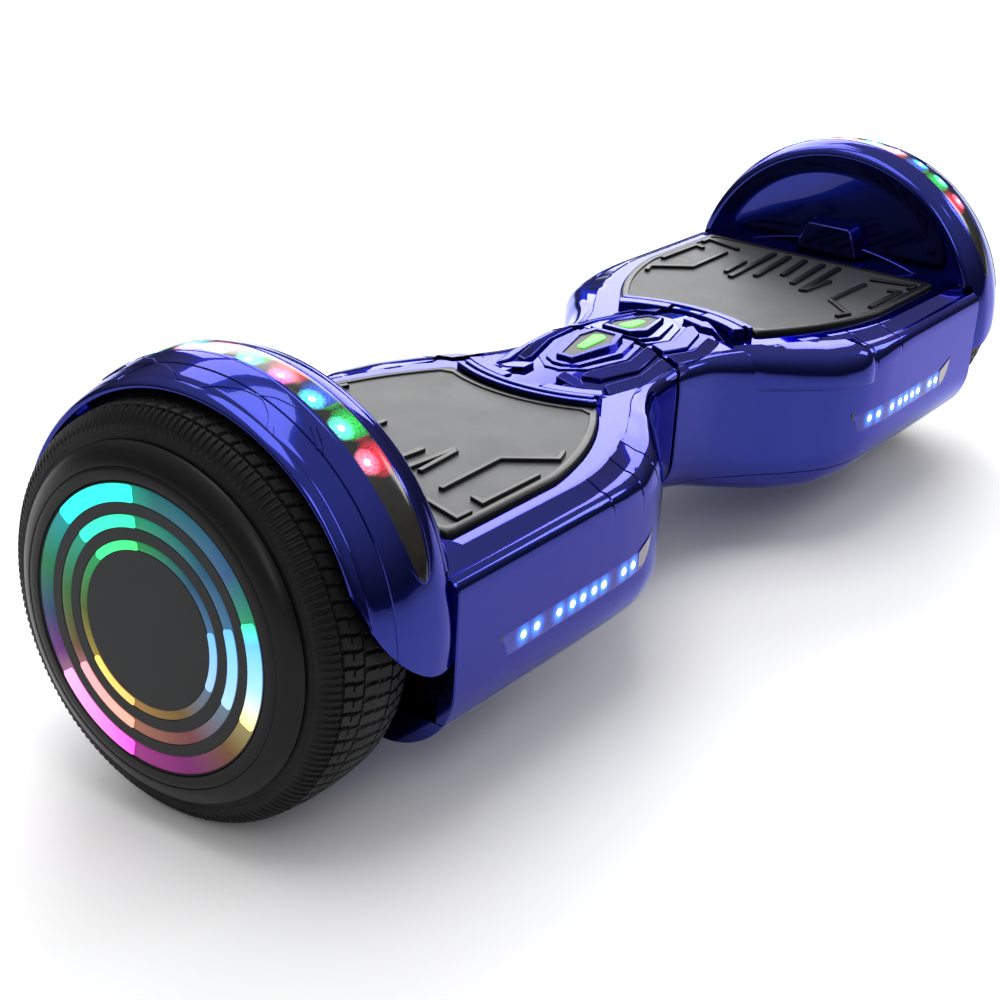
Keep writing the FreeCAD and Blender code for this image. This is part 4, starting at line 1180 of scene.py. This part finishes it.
def headlights(word, side):
    """The headlights on the front and back walls: a dark rim, the lens, its pointed tip and the lights."""
    body = word + "_half"
    for s, tag in ((-1, "front"), (1, "back")):
        if (side < 0) == (s < 0):
            mirror, look = (lambda x: x), HEAD_LENS
        else:
            mirror, look = (lambda x: LENS_SPAN - x), HEAD_LENS_OTHER
        points = [(mirror(x), z) for x, z in LENS_OUTLINE]
        corners = [x for x, z in points]
        x_lo, x_hi = min(corners), max(corners)
        xs = set(np.linspace(x_lo + 0.05, x_hi - 0.05, 56)) | {x for x in corners if x_lo < x < x_hi}
        xs = sorted(xs)
        rows = 9
        parts = (("rim", 0.9, 0.12, DARK_PLASTIC, ()), ("lens", 0.0, 0.32, look, [word + "_light_lenses"]))
        for name, grow, lift, material, replaces in parts:
            verts = []
            for x in xs:
                lo, hi = lens_range(x, points)
                end = -1 if x == xs[0] else 1 if x == xs[-1] else 0
                for k in range(rows):
                    v = k / (rows - 1)
                    z = lo - grow + (hi - lo + 2 * grow) * v
                    dome = lift * (1 - (2 * v - 1) ** 6) - 0.1
                    verts.append((side * (x + grow * end), s * wall_at(x, z, dome), z))
            faces = grid_faces(len(xs), rows)
            name = "%s_%s_%s" % (word, tag, name)
            piece(name, verts, faces, material, body, replaces=replaces, slot="light_lens", sharp=60)
        tip_in, tip_out = mirror(113.0), mirror(101.2)
        verts, steps = [], 10
        for i in range(steps):
            t = i / (steps - 1)
            x = tip_in + (tip_out - tip_in) * t
            lo, hi = lens_range(x, points)
            lo += 0.8 + 2.0 * (1 - t)
            hi = max(hi - 0.8, lo + 0.1)
            for k in range(5):
                z = lo + (hi - lo) * k / 4
                verts.append((side * x, s * wall_at(x, z, 0.42), z))
        piece("%s_%s_tip" % (word, tag), verts, grid_faces(steps, 5), TIP, body, slot="light_lens", sharp=60)
        out, along, across = Vector((0, s, 0)), Vector((1, 0, 0)), Vector((0, 0, 1))
        for i, light_x in enumerate(LIGHT_X):
            x = mirror(light_x)
            spot = Vector((x, s * wall_at(x, LIGHT_Z, 0.15), LIGHT_Z))
            verts, faces = light_dome(spot, out, along, across, 1.5, 0.6, side)
            piece("%s_%s_light_%d" % (word, tag, i + 1), verts, faces, LED_WHITE, body, slot="light_lens")


# ---- wheel -------------------------------------------------------------------------------------


def tyre_radius(x):
    """The tread's crowned outline: its radius at x."""
    s = 9.0
    over = max(TYRE_X0 + s - x, x - TYRE_X1 + s)
    if over > 0:
        return TYRE_EDGE_R - s + math.sqrt(max(0.0, s * s - over**2))
    t = (x - TYRE_MID_X) / ((TYRE_X1 - TYRE_X0) / 2 - s)
    return TYRE_R - (TYRE_R - TYRE_EDGE_R) * t * t


def tread_depth(x, turn):
    """How deep the moulded tread is at x and at a turn counted in pitches."""
    across = abs(x - TYRE_MID_X)
    if across > 22.4:
        return 0.0
    if across > 17.6:
        return 1.0 if (2 * turn) % 1.0 < 0.4 else 0.0
    if across > 16.7:
        return 1.3
    if across > 8.0:
        slant = turn + 0.35 * (across - 8.0) / 9.0
        depth = 1.4 if slant % 1.0 < 0.17 else 0.0
        if 12.0 < across < 12.7 and 0.17 <= slant % 1.0 < 0.62:
            depth = 1.2
        return depth
    if across > 7.2:
        return 1.3
    return 1.3 if (turn + 0.5 + 0.25 * (x - TYRE_MID_X) / 7.0) % 1.0 < 0.16 else 0.0


def tread(word, side):
    """The tyre's outer skin with its moulded tread."""
    pitches, per = 84, 12
    steps = pitches * per
    xs = [TYRE_X0, TYRE_X0, 248.0, 248.6, 249.0, 251.0, 253.3, 253.5, 254.2, 254.4, 256.4, 258.2]
    xs += [258.4, 258.9, 259.1, 261.0, 262.9, 263.1, 263.7, 263.9, 267.4, TYRE_MID_X]
    xs += [2 * TYRE_MID_X - x for x in xs[-2::-1]]
    last = len(xs) - 1
    verts = []
    for k, x in enumerate(xs):
        r = 66.0 if k in (0, last) else tyre_radius(x)
        for i in range(steps):
            a = 2 * math.pi * i / steps
            rr = r - (tread_depth(x, i / per) if 1 < k < last - 1 else 0.0)
            verts.append((side * x, rr * math.cos(a), AXLE_Z + rr * math.sin(a)))
    piece(
        word + "_tread", verts, grid_faces(len(xs), steps, wrap_columns=True), TYRE_RUBBER, word + "_wheel",
        replaces=[word + "_tyre"], slot="tyre_rubber", sharp=35
    )


def lit_arc(name, ring, start, side, body):
    """The lit part of a ring of the light disc, from an angle in degrees, with rounded ends."""
    (r0, r1), sweep = TRACK_RADII[ring], 46.0 - 2.0 * ring
    length, round_r = math.radians(sweep) * (r0 + r1) / 2, 1.6
    verts, n, rows = [], 40, 7
    for i in range(n):
        t = i / (n - 1)
        end = min(t, 1 - t) * length
        pinch = 0.0 if end > round_r else round_r - math.sqrt(max(0.0, round_r**2 - (round_r - end) ** 2))
        a = math.radians(start + sweep * t)
        for j in range(rows):
            v = j / (rows - 1)
            r = r0 + pinch * 0.5 + (r1 - r0 - pinch) * v
            x = 301.15 + 0.15 * (1 - (2 * v - 1) ** 4)
            verts.append((side * x, -r * math.cos(a), AXLE_Z + r * math.sin(a)))
    piece(name, verts, grid_faces(n, rows), ARCS[ring], body, slot="light_disc", sharp=60)


# The light disc's three rings, inner and outer radius
TRACK_RADII = [(47.4, 54.0), (38.2, 42.8), (30.0, 33.4)]
# The tyre's sidewalls and the domed hub cover, with its fine line and the light disc's seat: (x, radius)
SIDEWALL_OUT = [(294.5, 70.6), (294.6, 69.8), (293.6, 68.9), (293.4, 66.0), (292.0, 60.0)]
SIDEWALL_IN = [(247.5, 70.5), (247.2, 69.8), (248.2, 69.0), (248.4, 66.0), (249.0, 60.5)]
COVER = [(293.6, 66.0), (294.4, 67.6), (295.6, 68.0), (296.8, 67.4), (298.6, 65.2), (300.0, 62.4)]
COVER += [(300.7, 60.6), (300.75, 60.2), (300.45, 59.9), (300.75, 59.6), (301.1, 58.6), (301.3, 56.5)]
COVER += [(301.3, 55.2), (300.6, 54.8), (300.4, 54.7)]


def wheel(word, side):
    """The tyre, the hub cover and the disc with its three rings of light."""
    body = word + "_wheel"
    tread(word, side)
    for tag, profile in (("out", SIDEWALL_OUT), ("in", SIDEWALL_IN)):
        lathe("%s_sidewall_%s" % (word, tag), profile, TYRE_RUBBER, body, side, 160, slot="tyre_rubber")
    looks = dict(replaces=[word + "_hub_cover"], slot="hub_plastic", sharp=30)
    lathe(word + "_cover", COVER, HUB_PLASTIC, body, side, 200, **looks)
    disc = [(300.4, 54.6), (300.9, 54.5), (300.95, 54.3)]
    for r0, r1 in TRACK_RADII:
        disc += [(300.95, r1 + 0.25), (300.6, r1 + 0.1), (300.6, r0 - 0.1), (300.95, r0 - 0.25)]
    disc += [(300.95, 20.0), (300.95, 8.0), (300.95, 0.01)]
    looks = dict(replaces=[word + "_light_disc"], slot="light_disc", sharp=30)
    lathe(word + "_disc", disc, DISC_PLASTIC, body, side, 200, **looks)
    for k, (r0, r1) in enumerate(TRACK_RADII):
        track = [(300.7, r1), (300.9, r1 - 0.4), (300.9, r0 + 0.4), (300.7, r0)]
        lathe("%s_track_%d" % (word, k + 1), track, TRACKS[k], body, side, 200, slot="light_disc", sharp=60)
        for g in range(3):
            lit_arc("%s_arc_%d_%d" % (word, k + 1, g + 1), k, 83.0 + 120.0 * g + RING_TURN, side, body)


seam_seal()
for word, side in SIDES:
    casing(word, side)
    centre(word, side)
    window(word, side)
    underside(word, side)
    shoulder_caps(word, side)
    pad(word, side)
    fender(word, side)
    headlights(word, side)
    wheel(word, side)
charge_port()


# ---- stage, light and camera -------------------------------------------------------------------


def stage():
    """The pale floor the part stands on."""
    me = bpy.data.meshes.new("floor")
    s, z = 9.0, -0.0002
    me.from_pydata([(-s, -s, z), (s, -s, z), (s, s, z), (-s, s, z)], [], [(0, 1, 2, 3)])
    m = Nodes("floor")
    tone = m.ramp(m.noise(3.0, 3.0), [(0.3, (0.87, 0.87, 0.87)), (0.7, (0.9, 0.9, 0.9))])
    m.link(tone, m.input("Base Color"))
    m.set(Roughness=0.7)
    me.materials.append(m.mat)
    ob = bpy.data.objects.new("floor", me)
    bpy.context.scene.collection.objects.link(ob)


def area(name, location, target, size, energy):
    """A rectangular light panel that faces target, in metres and watts."""
    light = bpy.data.lights.new(name, "AREA")
    light.shape, light.size, light.size_y = "RECTANGLE", size[0], size[1]
    light.energy = energy
    ob = bpy.data.objects.new(name, light)
    ob.location = location
    ob.rotation_euler = (Vector(target) - Vector(location)).to_track_quat("-Z", "Y").to_euler()
    bpy.context.scene.collection.objects.link(ob)


def world():
    """A soft studio all round: dark at the horizon, brighter overhead, and a plain white backdrop."""
    w = bpy.data.worlds.new("studio")
    bpy.context.scene.world = w
    w.use_nodes = True
    tree = w.node_tree
    tree.nodes.clear()
    out = tree.nodes.new("ShaderNodeOutputWorld")
    coord = tree.nodes.new("ShaderNodeTexCoord")
    split = tree.nodes.new("ShaderNodeSeparateXYZ")
    ramp = tree.nodes.new("ShaderNodeValToRGB")
    e = ramp.color_ramp.elements
    e[0].position, e[0].color = 0.0, (0.10, 0.10, 0.12, 1)
    e[1].position, e[1].color = 1.0, (1.0, 1.0, 1.0, 1)
    for pos, v in ((0.10, 0.12), (0.25, 0.25), (0.45, 0.55), (0.70, 0.9)):
        n = e.new(pos)
        n.color = (v, v, v * 1.03, 1)
    studio = tree.nodes.new("ShaderNodeBackground")
    studio.inputs["Strength"].default_value = 0.8
    backdrop = tree.nodes.new("ShaderNodeBackground")
    backdrop.inputs["Color"].default_value = (1, 1, 1, 1)
    path = tree.nodes.new("ShaderNodeLightPath")
    mix = tree.nodes.new("ShaderNodeMixShader")
    tree.links.new(coord.outputs["Generated"], split.inputs[0])
    tree.links.new(split.outputs["Z"], ramp.inputs["Fac"])
    tree.links.new(ramp.outputs["Color"], studio.inputs["Color"])
    tree.links.new(path.outputs["Is Camera Ray"], mix.inputs[0])
    tree.links.new(studio.outputs[0], mix.inputs[1])
    tree.links.new(backdrop.outputs[0], mix.inputs[2])
    tree.links.new(mix.outputs[0], out.inputs["Surface"])


def camera():
    """The view from the left, a little above the deck, with the left wheel nearest."""
    scale = 80.0 / 77.6
    az, el, roll = math.radians(-56.34), math.radians(22.65), math.radians(3.55)
    dist = 0.77888 * scale
    target = Vector((-0.09032, -0.00909, 0.07385)) * scale
    back = Vector((math.sin(az) * math.cos(el), -math.cos(az) * math.cos(el), math.sin(el)))
    right = (-back).cross(Vector((0, 0, 1))).normalized()
    up = right.cross(-back)
    right, up = right * math.cos(roll) + up * math.sin(roll), -right * math.sin(roll) + up * math.cos(roll)
    cam = bpy.data.cameras.new("camera")
    cam.sensor_width = 36.0
    cam.lens = 66.64824
    cam.shift_x, cam.shift_y = -0.0091, -0.0216
    cam.clip_start = 0.01
    ob = bpy.data.objects.new("camera", cam)
    rot = Matrix((right, up, back)).transposed()
    ob.matrix_world = Matrix.Translation(target + back * dist) @ rot.to_4x4()
    bpy.context.scene.collection.objects.link(ob)
    bpy.context.scene.camera = ob


stage()
world()
area("backdrop_panel", (1.9, 1.35, 1.1), (0, 0, 0.1), (2.1, 1.15), 42.0)
area("side_panel", (1.7, -0.9, 1.15), (0, 0, 0.1), (0.5, 0.6), 7.0)
area("overhead", (-0.2, 0.1, 1.6), (-0.1, 0, 0.1), (1.3, 0.8), 12.0)
area("upper_backdrop", (0.75, 1.0, 1.5), (-0.1, 0, 0.1), (1.1, 0.6), 9.0)
area("left_panel", (-1.5, -0.9, 1.0), (-0.2, 0, 0.1), (0.35, 0.9), 5.0)
camera()
bpy.context.scene.view_settings.view_transform = "Standard"
